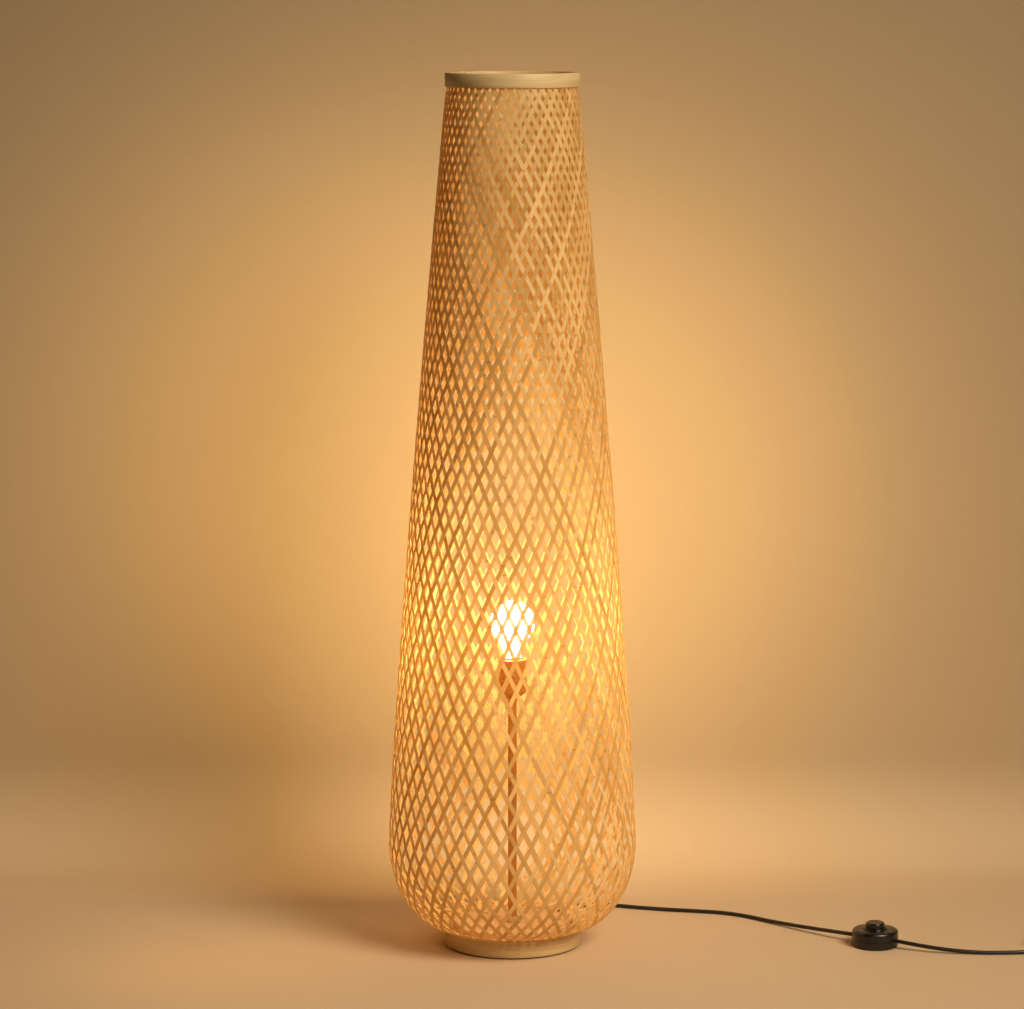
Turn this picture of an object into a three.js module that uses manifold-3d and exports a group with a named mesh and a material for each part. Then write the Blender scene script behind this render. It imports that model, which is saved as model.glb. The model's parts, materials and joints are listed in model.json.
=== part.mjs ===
// A floor lamp: a tall open-weave bamboo body on a weighted round base, with a bulb on a slim stem
// inside it, and a black flex with a foot switch, a put-away coil and a two-pin plug.
// Millimetres, +Z up, origin at the centre of the base on the floor, front towards -Y.

import * as THREE from "three";
import { mergeVertices } from "three/addons/utils/BufferGeometryUtils.js";
import Module from "manifold-3d";

const wasm = await Module();
wasm.setup();

// Driving dimensions of the lamp
const overallHeight = 1200;
const widestRadius = 171.4;
const widestHeight = 142.5;
const rimRadius = 91;
const rimHeight = 19;
const baseRadius = 95;
const baseRingHeight = 23;
const clearance = 0.3;
const weldDistance = 0.0001;
const cutOverrun = 2;

// Smoothness, as numbers of flat sides
const bodySides = 36;
const smallSides = 24;
const tinySides = 16;
const hexSides = 6;

// Hoops of split bamboo that hold the ends of the weave
const rimHoopThickness = 2;
const baseHoopThickness = 2.8;
const innerHoopThickness = 2.8;
const innerHoopRecess = 2;
const hoopEdge = 0.6;

// Woven body
const weaveThickness = 2;
const swellRadius = 90;
const swellDrop = 16;
const taperPowerShare = 1.19;
const taperRows = 60;
const roundPowerShare = 1.9;
const roundRows = 30;
const tuckOverhang = 3;
const tuckRise = 2.5;
const tuckLipInset = 1;
const tuckLipRise = 1.6;

// Open lattice: the real strips each way, and the fewer, wider ones that stand for them here.
// The shares give how steeply, in degrees, a strip runs at each share of the height.
const weaveStripWidth = 5.8;
const weaveStrips = 52;
const latticeStrips = 12;
const latticeMargin = 3;
const roundPieces = 2;
const slopeShare = [[0, 61], [0.12, 62.5], [0.35, 66], [0.65, 66.5], [0.85, 65], [1, 62.5]];

// Weighted base
const footThickness = 2;
const footWidth = 26;
const boardThickness = 18;
const boardHoleRadius = 17;
const ballastInset = 6.5;
const ballastThickness = 10;
const ballastScrewCount = 3;
const ballastScrewInset = 20;
const ballastScrewAzimuth = 10;
const ballastScrewShank = 2;
const ballastScrewHead = 4.5;
const ballastScrewHeadHeight = 2.6;
const ballastScrewLength = 20;
const pilotDepth = 12;

// Stem, with its washer and lock nut
const stemRadius = 6;
const stemWall = 1.5;
const washerRadius = 12;
const washerThickness = 1.5;
const nutRadius = 11;
const nutHeight = 7;

// Lampholder
const holderRadius = 19.5;
const holderTopHeight = 400;
const holderSleeveHeight = 34;
const holderSleeveWall = 2.2;
const holderLipGap = 1.5;
const holderLipThickness = 2;
const holderEdge = 1;
const holderCapHeight = 22;
const holderCapWall = 3.5;
const holderNeckRadius = 9;
const holderNeckHeight = 4;
const holderShoulderHeight = 14;
const stemGripDepth = 10;
const insertThickness = 8;
const screwShellWall = 0.5;
const screwShellHeight = 22;
const holderContactRadius = 4.5;
const holderContactHeight = 1.2;
const terminalWidth = 6;
const terminalLength = 9;
const terminalHeight = 5;
const terminalInset = 3;

// Bulb
const bulbLength = 104.5;
const globeRadius = 30;
const globeWall = 1;
const bulbCapRadius = 13.1;
const bulbCapWall = 0.5;
const bulbCapHeight = 27;
const bulbCapFoot = 1.8;
const bulbContactRadius = 4.8;
const bulbContactHeight = 2;
const bulbInsulatorHeight = 5;
const bulbInsulatorFoot = 5.5;
const neckInsertion = 9;
const neckRise = 2;
const globeArcStart = -35;
const globeArcRows = 6;
const neckRows = 3;
const neckPullShare = 0.45;
const mountDrop = 20.5;
const mountFlareHeight = 12;
const mountRodRadius = 3;
const mountButtonRadius = 4.5;
const mountButtonHeight = 2.5;
const filamentRadius = 0.6;
const filamentFootSpread = 3;
const filamentSpread = 11;
const filamentHeight = 24;
const filamentSteps = 16;
const filamentSides = 5;

// Flex and its gland in the base
const cordDiameter = 5.5;
const cordSides = 8;
const cordStepShare = 2.3;
const glandAzimuth = 70;
const glandHeight = 7.5;
const glandRadius = 4.3;
const glandFlangeRadius = 6;
const glandFlangeThickness = 1.5;
const glandReach = 24;
const glandTipRadius = 3.4;
const glandDepth = 12;
const leadBend = 12;
const leadTail = 2;
const leadSides = 8;
const leadSteps = 36;

// Coil of the unused flex, and the strap round it
const coilMiddleRadius = 28.5;
const coilTurns = 6.25;
const coilLayers = 4;
const coilStepsPerTurn = 24;
const coilSides = 6;
const coilGap = 0.6;
const coilClimbTurns = 0.5;
const coilStartAngle = -Math.PI / 2;
const tieWidth = 10;
const tieThickness = 0.8;
const tieEdge = 0.35;

// Foot switch
const switchX = 501.8;
const switchY = -18.9;
const switchHeading = -33;
const switchRadius = 32;
const switchHeight = 25;
const switchWall = 2;
const switchFloor = 2.2;
const switchTopThickness = 2.5;
const switchEdge = 5;
const switchFootInset = 5;
const switchFootThickness = 1.2;
const switchSeamHeight = 11;
const switchChamfer = 1;
const switchEdgeRows = 4;
const bossRadius = 3.5;
const bossInset = 10;
const switchScrewShank = 1.5;
const switchScrewHead = 3;
const switchScrewHeadHeight = 1;
const switchScrewReach = 16;
const buttonRadius = 13;
const buttonProud = 8.5;
const buttonTravel = 3;
const buttonEdge = 2.5;
const buttonFlange = 2;
const buttonFlangeHeight = 2.2;
const buttonWall = 4;
const buttonTopThickness = 3.5;
const blockEdge = 1.1;
const postGap = 1.5;
const postHeight = 5;
const contactSize = 4;
const contactHeight = 3;
const bridgeInset = 0.2;
const bridgeWidth = 3.4;
const bridgeThickness = 1;
const springInset = 2;
const springWire = 1;
const springTurns = 6;
const springStepsPerTurn = 8;
const springSides = 5;

// Two-pin plug at the far end of the flex
const plugThickness = 13.8;
const plugWidth = 35;
const plugLength = 35;
const plugNeckWidth = 12;
const plugShoulderShare = 0.62;
const plugBevel = 1.6;
const plugBevelRows = 2;
const plugCornerRows = 5;
const reliefLength = 24;
const reliefTipRadius = 3.6;
const reliefRootRadius = 5;
const pinSpacing = 18.6;
const pinRadius = 2;
const pinLength = 19;
const pinCoreRadius = 1.4;
const sleeveLength = 10;
const pinTip = 1.2;

// Routes of the free stretches of flex, chosen by hand
const routeToSwitch = [
  [41.6, 114.3, 7.5],
  [45.0, 123.6, 7.3],
  [50.1, 137.6, 5.7],
  [56.5, 152.5, 3.8],
  [65.5, 168.0, 3.0],
  [79.0, 182.5, 2.9],
  [98.0, 193.0, 2.9],
  [123.0, 196.5, 2.9],
  [151.6, 191.1, 2.9],
  [178.6, 181.8, 2.9],
  [224.7, 168.6, 2.9],
  [263.0, 160.4, 2.9],
  [300.4, 150.2, 2.9],
  [331.1, 132.6, 3.0],
  [357.4, 108.1, 3.4],
  [392.1, 73.9, 5.2],
  [427.2, 38.7, 8.2],
  [464.1, 5.6, 10.8],
  [475.0, -1.5, 11.0],
  [489.8, -11.1, 11.0],
];
const routeFromSwitch = [
  [513.8, -26.7, 11.0],
  [528.6, -36.3, 11.0],
  [539.5, -43.0, 10.6],
  [568.2, -55.5, 8.2],
  [604.3, -63.6, 5.0],
  [641.1, -67.3, 3.1],
  [678.1, -67.3, 2.9],
  [705.0, -65.2, 3.2],
  [729.0, -64.0, 3.85],
  [750.2, -64.0, 3.85],
];
const routeToPlug = [
  [789.3, -24.9, 22.15],
  [789.3, -17.0, 22.0],
  [789.3, -4.0, 18.2],
  [789.3, 9.0, 11.8],
  [789.3, 21.0, 7.4],
  [789.3, 31.7, 6.9],
];

// Worked out from the driving dimensions
const cordRadius = cordDiameter / 2;
const rimBottom = overallHeight - rimHeight;
const baseRingTop = footThickness + baseRingHeight;
const boardTop = footThickness + boardThickness;
const ballastTop = boardTop + ballastThickness;
const weaveTopRadius = rimRadius - rimHoopThickness - clearance;
const weaveBaseRadius = baseRadius - baseHoopThickness - clearance;
const rimInnerHoopRadius = weaveTopRadius - weaveThickness - clearance;
const baseInnerHoopRadius = weaveBaseRadius - weaveThickness - clearance;
const boardRadius = baseInnerHoopRadius - innerHoopThickness - clearance;
const ballastRadius = boardRadius - ballastInset;
const ballastScrewCircle = ballastRadius - ballastScrewInset;
const latticeStripWidth = (weaveStrips * weaveStripWidth) / latticeStrips;
const latticePitch = (2 * Math.PI) / latticeStrips;
const tuckRadius = baseRadius + tuckOverhang;
const tuckHeight = baseRingTop + tuckRise;
const tuckLipRadius = baseRadius - tuckLipInset;
const tuckLipHeight = baseRingTop + tuckLipRise;
const holderBottom = holderTopHeight - holderSleeveHeight - holderCapHeight;
const holderSplit = holderTopHeight - holderSleeveHeight;
const holderCavity = holderRadius - holderCapWall;
const holderLipRadius = bulbCapRadius + holderLipGap;
const terminalOffset = holderCavity - terminalInset - terminalWidth / 2;
const insertTop = holderSplit + insertThickness;
const bulbBottom = insertTop + holderContactHeight + clearance;
const bulbTopHeight = bulbBottom + bulbLength;
const globeMiddle = bulbTopHeight - globeRadius;
const stemTop = holderBottom + stemGripDepth;
const bossOffset = switchRadius - bossInset;
const switchUnder = switchHeight - switchTopThickness;
const buttonTop = switchHeight + buttonProud;
const buttonHollowRadius = buttonRadius - buttonWall;
const buttonFlangeTop = switchUnder - clearance;
const buttonFlangeLow = buttonFlangeTop - buttonFlangeHeight;
const bridgeTop = buttonFlangeLow - clearance;
const bridgeLow = bridgeTop - bridgeThickness;
const bridgeInnerRadius = buttonHollowRadius + bridgeInset;
const bridgeOuterRadius = bridgeInnerRadius + bridgeWidth;
const contactOffset = bridgeInnerRadius + bridgeWidth / 2;
const contactTop = bridgeLow - buttonTravel - clearance;
const blockTop = contactTop - contactHeight;
const blockRadius = contactOffset + contactSize / 2 + blockEdge;
const springRadius = buttonHollowRadius - springInset;
const postRadius = springRadius - springWire / 2 - postGap;
const coilPitch = cordDiameter + coilGap;
const coilTurnsPerLayer = coilTurns / coilLayers;
const coilHalfWidth = (coilTurnsPerLayer * coilPitch) / 2;
const coilOuterRadius = coilMiddleRadius + coilHalfWidth;
const coilInnerRadius = coilMiddleRadius - coilHalfWidth;
const coilLowHeight = tieThickness + clearance + cordRadius;
const [coilEntryX, coilEntryY] = routeFromSwitch[routeFromSwitch.length - 1];
const coilCentreX = coilEntryX + clearance + cordDiameter;
const coilCentreY = coilEntryY + coilOuterRadius;
const [plugX, plugTailY] = routeToPlug[routeToPlug.length - 1];

function radians(degrees) {
  return THREE.MathUtils.degToRad(degrees);
}

function finish(color, roughness, metalness) {
  return new THREE.MeshStandardMaterial({ color, roughness, metalness });
}

const bamboo = () => finish(0xc9a35f, 0.5, 0);
const wovenBamboo = () => finish(0xd8b27a, 0.6, 0);
const plywood = () => finish(0xb08a55, 0.7, 0);
const felt = () => finish(0x2b2622, 0.95, 0);
const darkSteel = () => finish(0x34322f, 0.55, 0.8);
const brightSteel = () => finish(0xb8b8b4, 0.35, 1);
const brass = () => finish(0xb99a55, 0.35, 1);
const blackPlastic = () => finish(0x17130f, 0.35, 0);
const blackFlex = () => finish(0x15110e, 0.45, 0);
const porcelain = () => finish(0xe8e4da, 0.3, 0);
const opalGlass = () => finish(0xffe0a8, 0.4, 0);
const clearGlass = () => finish(0xe6e0d0, 0.2, 0);

// Shares the corners, drops folded-up triangles and turns every face outwards.
function closed(geometry) {
  geometry.deleteAttribute("normal");
  geometry.deleteAttribute("uv");
  const merged = mergeVertices(geometry, weldDistance);
  const index = merged.index.array;
  const place = merged.attributes.position;
  const corner = (k) => new THREE.Vector3().fromBufferAttribute(place, k);
  const kept = [];
  let volume = 0;
  for (let i = 0; i < index.length; i += 3) {
    const [a, b, c] = [index[i], index[i + 1], index[i + 2]];
    if (a !== b && b !== c && c !== a) {
      kept.push(a, b, c);
      volume += corner(a).dot(corner(b).cross(corner(c)));
    }
  }
  merged.setIndex(volume < 0 ? kept.reverse() : kept);
  merged.computeVertexNormals();
  return merged;
}

function toSolid(geometry) {
  const vertProperties = new Float32Array(geometry.attributes.position.array);
  const triVerts = new Uint32Array(geometry.index.array);
  return new wasm.Manifold(new wasm.Mesh({ numProp: 3, vertProperties, triVerts }));
}

function fromSolid(solid) {
  const mesh = solid.getMesh();
  const geometry = new THREE.BufferGeometry();
  geometry.setAttribute("position", new THREE.BufferAttribute(mesh.vertProperties, 3));
  geometry.setIndex(Array.from(mesh.triVerts));
  return closed(geometry);
}

function cut(body, ...tools) {
  return fromSolid(tools.reduce((solid, tool) => solid.subtract(toSolid(tool)), toSolid(body)));
}

function join(body, ...others) {
  return fromSolid(others.reduce((solid, other) => solid.add(toSolid(other)), toSolid(body)));
}

// Turns a profile of [radius, height] that starts and ends on the axis.
function turned(profile, sides) {
  const points = profile.map(([radius, height]) => new THREE.Vector2(radius, height));
  return closed(new THREE.LatheGeometry(points, sides).rotateX(Math.PI / 2));
}

// Turns a profile that closes on itself, clear of the axis.
function turnedRing(profile, sides) {
  return turned([...profile, profile[0]], sides);
}

function rod(radius, low, high, sides) {
  return turned([[0, low], [radius, low], [radius, high], [0, high]], sides);
}

function hoop(innerRadius, outerRadius, low, high) {
  const edge = hoopEdge;
  const profile = [
    [innerRadius + edge, low],
    [outerRadius - edge, low],
    [outerRadius, low + edge],
    [outerRadius, high - edge],
    [outerRadius - edge, high],
    [innerRadius + edge, high],
    [innerRadius, high - edge],
    [innerRadius, low + edge],
  ];
  return turnedRing(profile, bodySides);
}

function sleeve(innerRadius, outerRadius, low, high, sides) {
  const profile = [
    [innerRadius, low],
    [outerRadius, low],
    [outerRadius, high],
    [innerRadius, high],
  ];
  return turnedRing(profile, sides);
}

// A round bar along +X, from x = low to x = high, at the given height.
function crossBar(radius, low, high, height, sides = tinySides) {
  return closed(rod(radius, low, high, sides).rotateY(Math.PI / 2).translate(0, 0, height));
}

function place(name, geometry, material) {
  const mesh = new THREE.Mesh(geometry, material);
  mesh.name = name;
  return mesh;
}

function arcPoints(centreRadius, centreHeight, radius, startDegrees, endDegrees, rows) {
  const points = [];
  for (let i = 0; i <= rows; i += 1) {
    const angle = radians(startDegrees + ((endDegrees - startDegrees) * i) / rows);
    points.push([centreRadius + radius * Math.cos(angle), centreHeight + radius * Math.sin(angle)]);
  }
  return points;
}

// Everything turned towards the gland is built along +X and then turned to the gland's azimuth.
function towardsGland(geometry) {
  return geometry.rotateZ(radians(glandAzimuth));
}

function glandHole() {
  const tool = crossBar(glandRadius + clearance, boardHoleRadius, baseRadius + cutOverrun, glandHeight);
  return towardsGland(tool);
}

// Outer face of the weave, from the rim band's lower edge down: out over the band, a long taper that
// swells to the widest place, and a round shoulder that ends over the base ring's edge.
function weaveOuterFace() {
  const points = [[weaveTopRadius, rimBottom]];
  const taperTop = rimBottom - swellDrop;
  for (let i = 0; i < taperRows; i += 1) {
    const height = taperTop + ((widestHeight - taperTop) * i) / taperRows;
    const share = (height - widestHeight) / (rimBottom - widestHeight);
    points.push([widestRadius - (widestRadius - swellRadius) * share ** taperPowerShare, height]);
  }
  for (let i = 0; i <= roundRows; i += 1) {
    const angle = (Math.PI / 2) * (i / roundRows);
    const across = Math.cos(angle) ** (2 / roundPowerShare);
    const down = Math.sin(angle) ** (2 / roundPowerShare);
    points.push([
      tuckRadius + (widestRadius - tuckRadius) * across,
      widestHeight - (widestHeight - tuckHeight) * down,
    ]);
  }
  return points;
}

// The same face moved inwards by the thickness of the weave, square to the face.
function offsetInwards(face, thickness) {
  return face.map(([radius, height], i) => {
    const before = face[Math.max(i - 1, 0)];
    const after = face[Math.min(i + 1, face.length - 1)];
    const along = new THREE.Vector2(after[0] - before[0], after[1] - before[1]).normalize();
    return [radius + along.y * thickness, height - along.x * thickness];
  });
}

function mix(before, after, share) {
  return before.map((start, k) => start + (after[k] - start) * share);
}

function slopeAt(share) {
  const next = Math.max(slopeShare.findIndex(([place]) => place >= share), 1);
  const [[lowPlace, lowSlope], [highPlace, highSlope]] = [slopeShare[next - 1], slopeShare[next]];
  return radians(lowSlope + ((highSlope - lowSlope) * (share - lowPlace)) / (highPlace - lowPlace));
}

// Rows down the lattice. Each holds the outer radius and height, the inner radius and height, how
// far down it lies, how far round a strip has gone, and how far its edges stand from its middle.
function latticeRows() {
  const [rim, ...rest] = weaveOuterFace();
  const face = [mix(rim, rest[0], latticeMargin / swellDrop), ...rest];
  const inner = offsetInwards(face, weaveThickness);
  let [down, round] = [0, 0];
  const rows = face.map(([radius, height], i) => {
    const slope = slopeAt(height / overallHeight);
    if (i > 0) {
      const step = Math.hypot(radius - face[i - 1][0], height - face[i - 1][1]);
      down += step;
      round += step / (Math.tan(slope) * radius);
    }
    const aside = latticeStripWidth / (2 * Math.sin(slope) * radius);
    return [radius, height, ...inner[i], down, round, aside];
  });
  const crossings = Math.round((2 * round) / latticePitch);
  const stretch = (crossings * latticePitch) / (2 * round);
  return rows.map(([a, b, c, d, e, turned, aside]) => [a, b, c, d, e, turned * stretch, aside]);
}

// The place, between two rows, where a measure of them reaches a value.
function placeWhere(rows, measure, value) {
  const next = rows.findIndex((row) => measure(row) >= value);
  const i = next < 0 ? rows.length - 1 : Math.max(next, 1);
  const [before, after] = [measure(rows[i - 1]), measure(rows[i])];
  return mix(rows[i - 1], rows[i], (value - before) / (after - before));
}

// Collects corners that each have an outer and an inner place, and flat faces between them.
class Sheet {
  outer = [];
  inner = [];
  faces = [];

  corner(angle, [radius, height, innerRadius, innerHeight]) {
    const [x, y] = [Math.cos(angle), Math.sin(angle)];
    this.outer.push(radius * x, radius * y, height);
    this.inner.push(innerRadius * x, innerRadius * y, innerHeight);
    return this.outer.length / 3 - 1;
  }

  ring(sides, radius, height, innerHeight = height) {
    const place = [radius, height, radius - weaveThickness, innerHeight];
    return Array.from({ length: sides }, (_, i) => {
      const angle = (2 * Math.PI * i) / sides;
      return [angle, this.corner(angle, place)];
    });
  }

  quad(a, b, c, d) {
    this.faces.push([a, b, c], [a, c, d]);
  }

  // Fills the band between two rings of [angle, corner], the upper one first.
  band(upper, lower) {
    const turn = 2 * Math.PI;
    const sorted = (ring) =>
      ring.map(([angle, corner]) => [((angle % turn) + turn) % turn, corner]).sort((a, b) => a[0] - b[0]);
    const [above, below] = [sorted(upper), sorted(lower)];
    const step = (ring, i) => ring[i % ring.length][0] + turn * Math.floor(i / ring.length);
    let [i, j] = [0, 0];
    while (i < above.length || j < below.length) {
      const corners = [above[i % above.length][1], below[j % below.length][1]];
      const lowerNext = j < below.length && (i >= above.length || step(below, j + 1) < step(above, i + 1));
      if (lowerNext) j += 1;
      else i += 1;
      const next = lowerNext ? below[j % below.length][1] : above[i % above.length][1];
      this.faces.push([...corners, next]);
    }
  }

  // Closes the sheet: outer faces, inner ones turned over, and a wall at each edge with one face.
  geometry() {
    const count = this.outer.length / 3;
    const edges = new Set();
    this.faces.forEach(([a, b, c]) => edges.add(`${a},${b}`).add(`${b},${c}`).add(`${c},${a}`));
    const index = this.faces.flatMap(([a, b, c]) => [a, b, c, count + c, count + b, count + a]);
    edges.forEach((edge) => {
      const [a, b] = edge.split(",").map(Number);
      if (!edges.has(`${b},${a}`)) index.push(a, count + b, b, a, count + a, count + b);
    });
    const geometry = new THREE.BufferGeometry();
    const places = new Float32Array([...this.outer, ...this.inner]);
    geometry.setAttribute("position", new THREE.BufferAttribute(places, 3));
    geometry.setIndex(index);
    return closed(geometry);
  }
}

// Corners of one crossing: left and right at its own height, up and down at the meshes' points.
function crossingCorners(sheet, rows, row, rowCount, middle) {
  const reached = (row * latticePitch) / 2;
  const level = placeWhere(rows, (place) => place[5], reached);
  const up = placeWhere(rows, (place) => place[5] + place[6], reached);
  const down = placeWhere(rows, (place) => place[5] - place[6], reached);
  return {
    middle,
    aside: level[6],
    left: sheet.corner(middle - level[6], level),
    right: sheet.corner(middle + level[6], level),
    up: row > 0 ? sheet.corner(middle, up) : null,
    down: row < rowCount ? sheet.corner(middle, down) : null,
    level,
    upPlace: up,
    downPlace: down,
  };
}

// One strip between two crossings, in pieces where the body is round. It leans right or left.
function latticeStrip(sheet, rows, from, to, lean) {
  const pieces = from.level[1] < widestHeight ? roundPieces : 1;
  const start = from.middle - lean * from.level[5];
  const edge = (begin, end, side) => (share) => {
    const lengthDown = begin[4] + (end[4] - begin[4]) * share;
    const place = placeWhere(rows, (row) => row[4], lengthDown);
    return sheet.corner(start + lean * place[5] + side * place[6], place);
  };
  const leftEdge = lean > 0 ? edge(from.downPlace, to.level, -1) : edge(from.level, to.upPlace, -1);
  const rightEdge = lean > 0 ? edge(from.level, to.upPlace, 1) : edge(from.downPlace, to.level, 1);
  let [left, right] = lean > 0 ? [from.down, from.right] : [from.left, from.down];
  const [lastLeft, lastRight] = lean > 0 ? [to.left, to.up] : [to.up, to.right];
  for (let i = 1; i <= pieces; i += 1) {
    const nextLeft = i < pieces ? leftEdge(i / pieces) : lastLeft;
    const nextRight = i < pieces ? rightEdge(i / pieces) : lastRight;
    sheet.quad(left, nextLeft, nextRight, right);
    [left, right] = [nextLeft, nextRight];
  }
}

// The open lattice between its two solid edges: one tucked in at the rim, one at the foot.
function wovenShade() {
  const sheet = new Sheet();
  const rows = latticeRows();
  const last = Math.round((2 * rows[rows.length - 1][5]) / latticePitch);
  const crossings = [];
  for (let row = 0; row <= last; row += 1) {
    crossings.push(Array.from({ length: latticeStrips }, (_, i) =>
      crossingCorners(sheet, rows, row, last, (i + row / 2) * latticePitch)));
  }
  crossings.forEach((line, row) => line.forEach((crossing, i) => {
    const { left, right, up, down } = crossing;
    if (up !== null && down !== null) sheet.faces.push([left, down, up], [down, right, up]);
    else if (up === null) sheet.faces.push([left, down, right]);
    else sheet.faces.push([left, right, up]);
    if (row === last) return;
    const below = crossings[row + 1];
    latticeStrip(sheet, rows, crossing, below[i], 1);
    latticeStrip(sheet, rows, crossing, below[(i + latticeStrips - 1) % latticeStrips], -1);
  }));
  const ends = (line) => line.flatMap(({ middle, aside, left, right }) =>
    [[middle - aside, left], [middle + aside, right]]);
  const top = sheet.ring(bodySides, weaveTopRadius, overallHeight - hoopEdge);
  const rim = sheet.ring(bodySides, weaveTopRadius, rimBottom);
  sheet.band(top, rim);
  sheet.band(rim, ends(crossings[0]));
  const lip = sheet.ring(bodySides, tuckLipRadius, tuckLipHeight, tuckLipHeight + weaveThickness);
  const tuck = sheet.ring(bodySides, weaveBaseRadius, baseRingTop + clearance);
  const foot = sheet.ring(bodySides, weaveBaseRadius, footThickness);
  sheet.band(ends(crossings[last]), lip);
  sheet.band(lip, tuck);
  sheet.band(tuck, foot);
  return place("woven_shade", cut(sheet.geometry(), glandHole()), wovenBamboo());
}

function rimHoops() {
  const outer = hoop(rimRadius - rimHoopThickness, rimRadius, rimBottom, overallHeight);
  const inner = sleeve(
    rimInnerHoopRadius - innerHoopThickness,
    rimInnerHoopRadius,
    rimBottom + innerHoopRecess,
    overallHeight,
    bodySides,
  );
  return [place("rim_outer_hoop", outer, bamboo()), place("rim_inner_hoop", inner, bamboo())];
}

function baseHoops() {
  const outer = hoop(baseRadius - baseHoopThickness, baseRadius, footThickness, baseRingTop);
  const inner = sleeve(
    baseInnerHoopRadius - innerHoopThickness,
    baseInnerHoopRadius,
    footThickness,
    baseRingTop - innerHoopRecess,
    bodySides,
  );
  return [
    place("base_ring", cut(outer, glandHole()), bamboo()),
    place("base_inner_hoop", cut(inner, glandHole()), bamboo()),
  ];
}

function footRing() {
  const outer = baseRadius - baseHoopThickness / 2;
  return place("foot_ring", sleeve(outer - footWidth, outer, 0, footThickness, bodySides), felt());
}

function screwPlaces() {
  const places = [];
  for (let i = 0; i < ballastScrewCount; i += 1) {
    const angle = radians(ballastScrewAzimuth + (360 * i) / ballastScrewCount);
    places.push([ballastScrewCircle * Math.cos(angle), ballastScrewCircle * Math.sin(angle)]);
  }
  return places;
}

function baseBoard() {
  const disc = rod(boardRadius, footThickness, boardTop, bodySides);
  const hole = rod(boardHoleRadius, footThickness - cutOverrun, boardTop + cutOverrun, smallSides);
  const grooveWidth = 2 * (glandRadius + clearance);
  const grooveTop = glandHeight + glandRadius + clearance;
  const grooveHeight = grooveTop - footThickness + cutOverrun;
  const groove = closed(new THREE.BoxGeometry(baseRadius, grooveWidth, grooveHeight));
  groove.translate(baseRadius / 2, 0, grooveTop - grooveHeight / 2);
  const pilotRadius = ballastScrewShank + clearance;
  const pilots = screwPlaces().map(([x, y]) =>
    rod(pilotRadius, boardTop - pilotDepth, boardTop + cutOverrun, tinySides).translate(x, y, 0));
  return place("base_board", cut(disc, hole, towardsGland(groove), ...pilots), plywood());
}

function ballast() {
  const disc = rod(ballastRadius, boardTop, ballastTop, bodySides);
  const low = boardTop - cutOverrun;
  const high = ballastTop + cutOverrun;
  const bore = rod(stemRadius + clearance, low, high, tinySides);
  const holes = screwPlaces().map(([x, y]) =>
    rod(ballastScrewShank + clearance, low, high, tinySides).translate(x, y, 0));
  return place("ballast_plate", cut(disc, bore, ...holes), darkSteel());
}

function ballastScrews() {
  const headTop = ballastTop + ballastScrewHeadHeight;
  const tip = ballastTop - ballastScrewLength;
  const profile = [
    [0, tip],
    [ballastScrewShank, tip + ballastScrewShank],
    [ballastScrewShank, ballastTop],
    [ballastScrewHead, ballastTop],
    [ballastScrewHead, ballastTop + ballastScrewHeadHeight / 2],
    [ballastScrewHead / 2, headTop],
    [0, headTop],
  ];
  return screwPlaces().map(([x, y], i) =>
    place(`ballast_screw_${i + 1}`, turned(profile, tinySides).translate(x, y, 0), brightSteel()));
}

function stem() {
  const bore = stemRadius - stemWall;
  const washerTop = ballastTop + washerThickness;
  const hole = stemRadius + clearance;
  const hexagon = rod(nutRadius, washerTop, washerTop + nutHeight, hexSides);
  const nutBore = rod(hole, washerTop - cutOverrun, washerTop + nutHeight + cutOverrun, tinySides);
  return [
    place("stem_tube", sleeve(bore, stemRadius, boardTop, stemTop, tinySides), darkSteel()),
    place("stem_washer", sleeve(hole, washerRadius, ballastTop, washerTop, tinySides), brightSteel()),
    place("stem_nut", cut(hexagon, nutBore), brightSteel()),
  ];
}

function holderCap() {
  const profile = [
    [stemRadius + clearance, holderBottom],
    [holderNeckRadius, holderBottom],
    [holderNeckRadius, holderBottom + holderNeckHeight],
    [(holderNeckRadius + holderRadius) / 2, holderBottom + holderNeckHeight + holderEdge],
    [holderRadius, holderBottom + holderShoulderHeight],
    [holderRadius, holderSplit],
    [holderCavity, holderSplit],
    [holderCavity, holderBottom + holderShoulderHeight],
    [holderNeckRadius, stemTop],
    [stemRadius + clearance, stemTop],
  ];
  return place("holder_cap", turnedRing(profile, smallSides), blackPlastic());
}

function holderSleeve() {
  const inner = holderRadius - holderSleeveWall;
  const profile = [
    [inner, holderSplit],
    [holderRadius, holderSplit],
    [holderRadius, holderTopHeight - holderEdge],
    [holderRadius - holderEdge, holderTopHeight],
    [holderLipRadius, holderTopHeight],
    [holderLipRadius, holderTopHeight - holderLipThickness],
    [inner, holderTopHeight - holderLipThickness],
  ];
  return place("holder_sleeve", turnedRing(profile, smallSides), blackPlastic());
}

function holderInside() {
  const insertRadius = holderRadius - holderSleeveWall - clearance;
  const shellRadius = bulbCapRadius + clearance;
  const shellTop = insertTop + screwShellHeight;
  const contact = [
    [0, insertTop],
    [holderContactRadius, insertTop],
    [holderContactRadius, insertTop + holderContactHeight / 2],
    [holderContactRadius / 2, insertTop + holderContactHeight],
    [0, insertTop + holderContactHeight],
  ];
  const pieces = [
    place("holder_insert", rod(insertRadius, holderSplit, insertTop, smallSides), porcelain()),
    place(
      "holder_screw_shell",
      sleeve(shellRadius, shellRadius + screwShellWall, insertTop, shellTop, smallSides),
      brass(),
    ),
    place("holder_contact", turned(contact, tinySides), brass()),
  ];
  [-1, 1].forEach((side, i) => {
    const block = closed(new THREE.BoxGeometry(terminalWidth, terminalLength, terminalHeight));
    block.translate(side * terminalOffset, 0, holderSplit - terminalHeight / 2);
    pieces.push(place(`holder_terminal_${i + 1}`, block, brass()));
  });
  return pieces;
}

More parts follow.
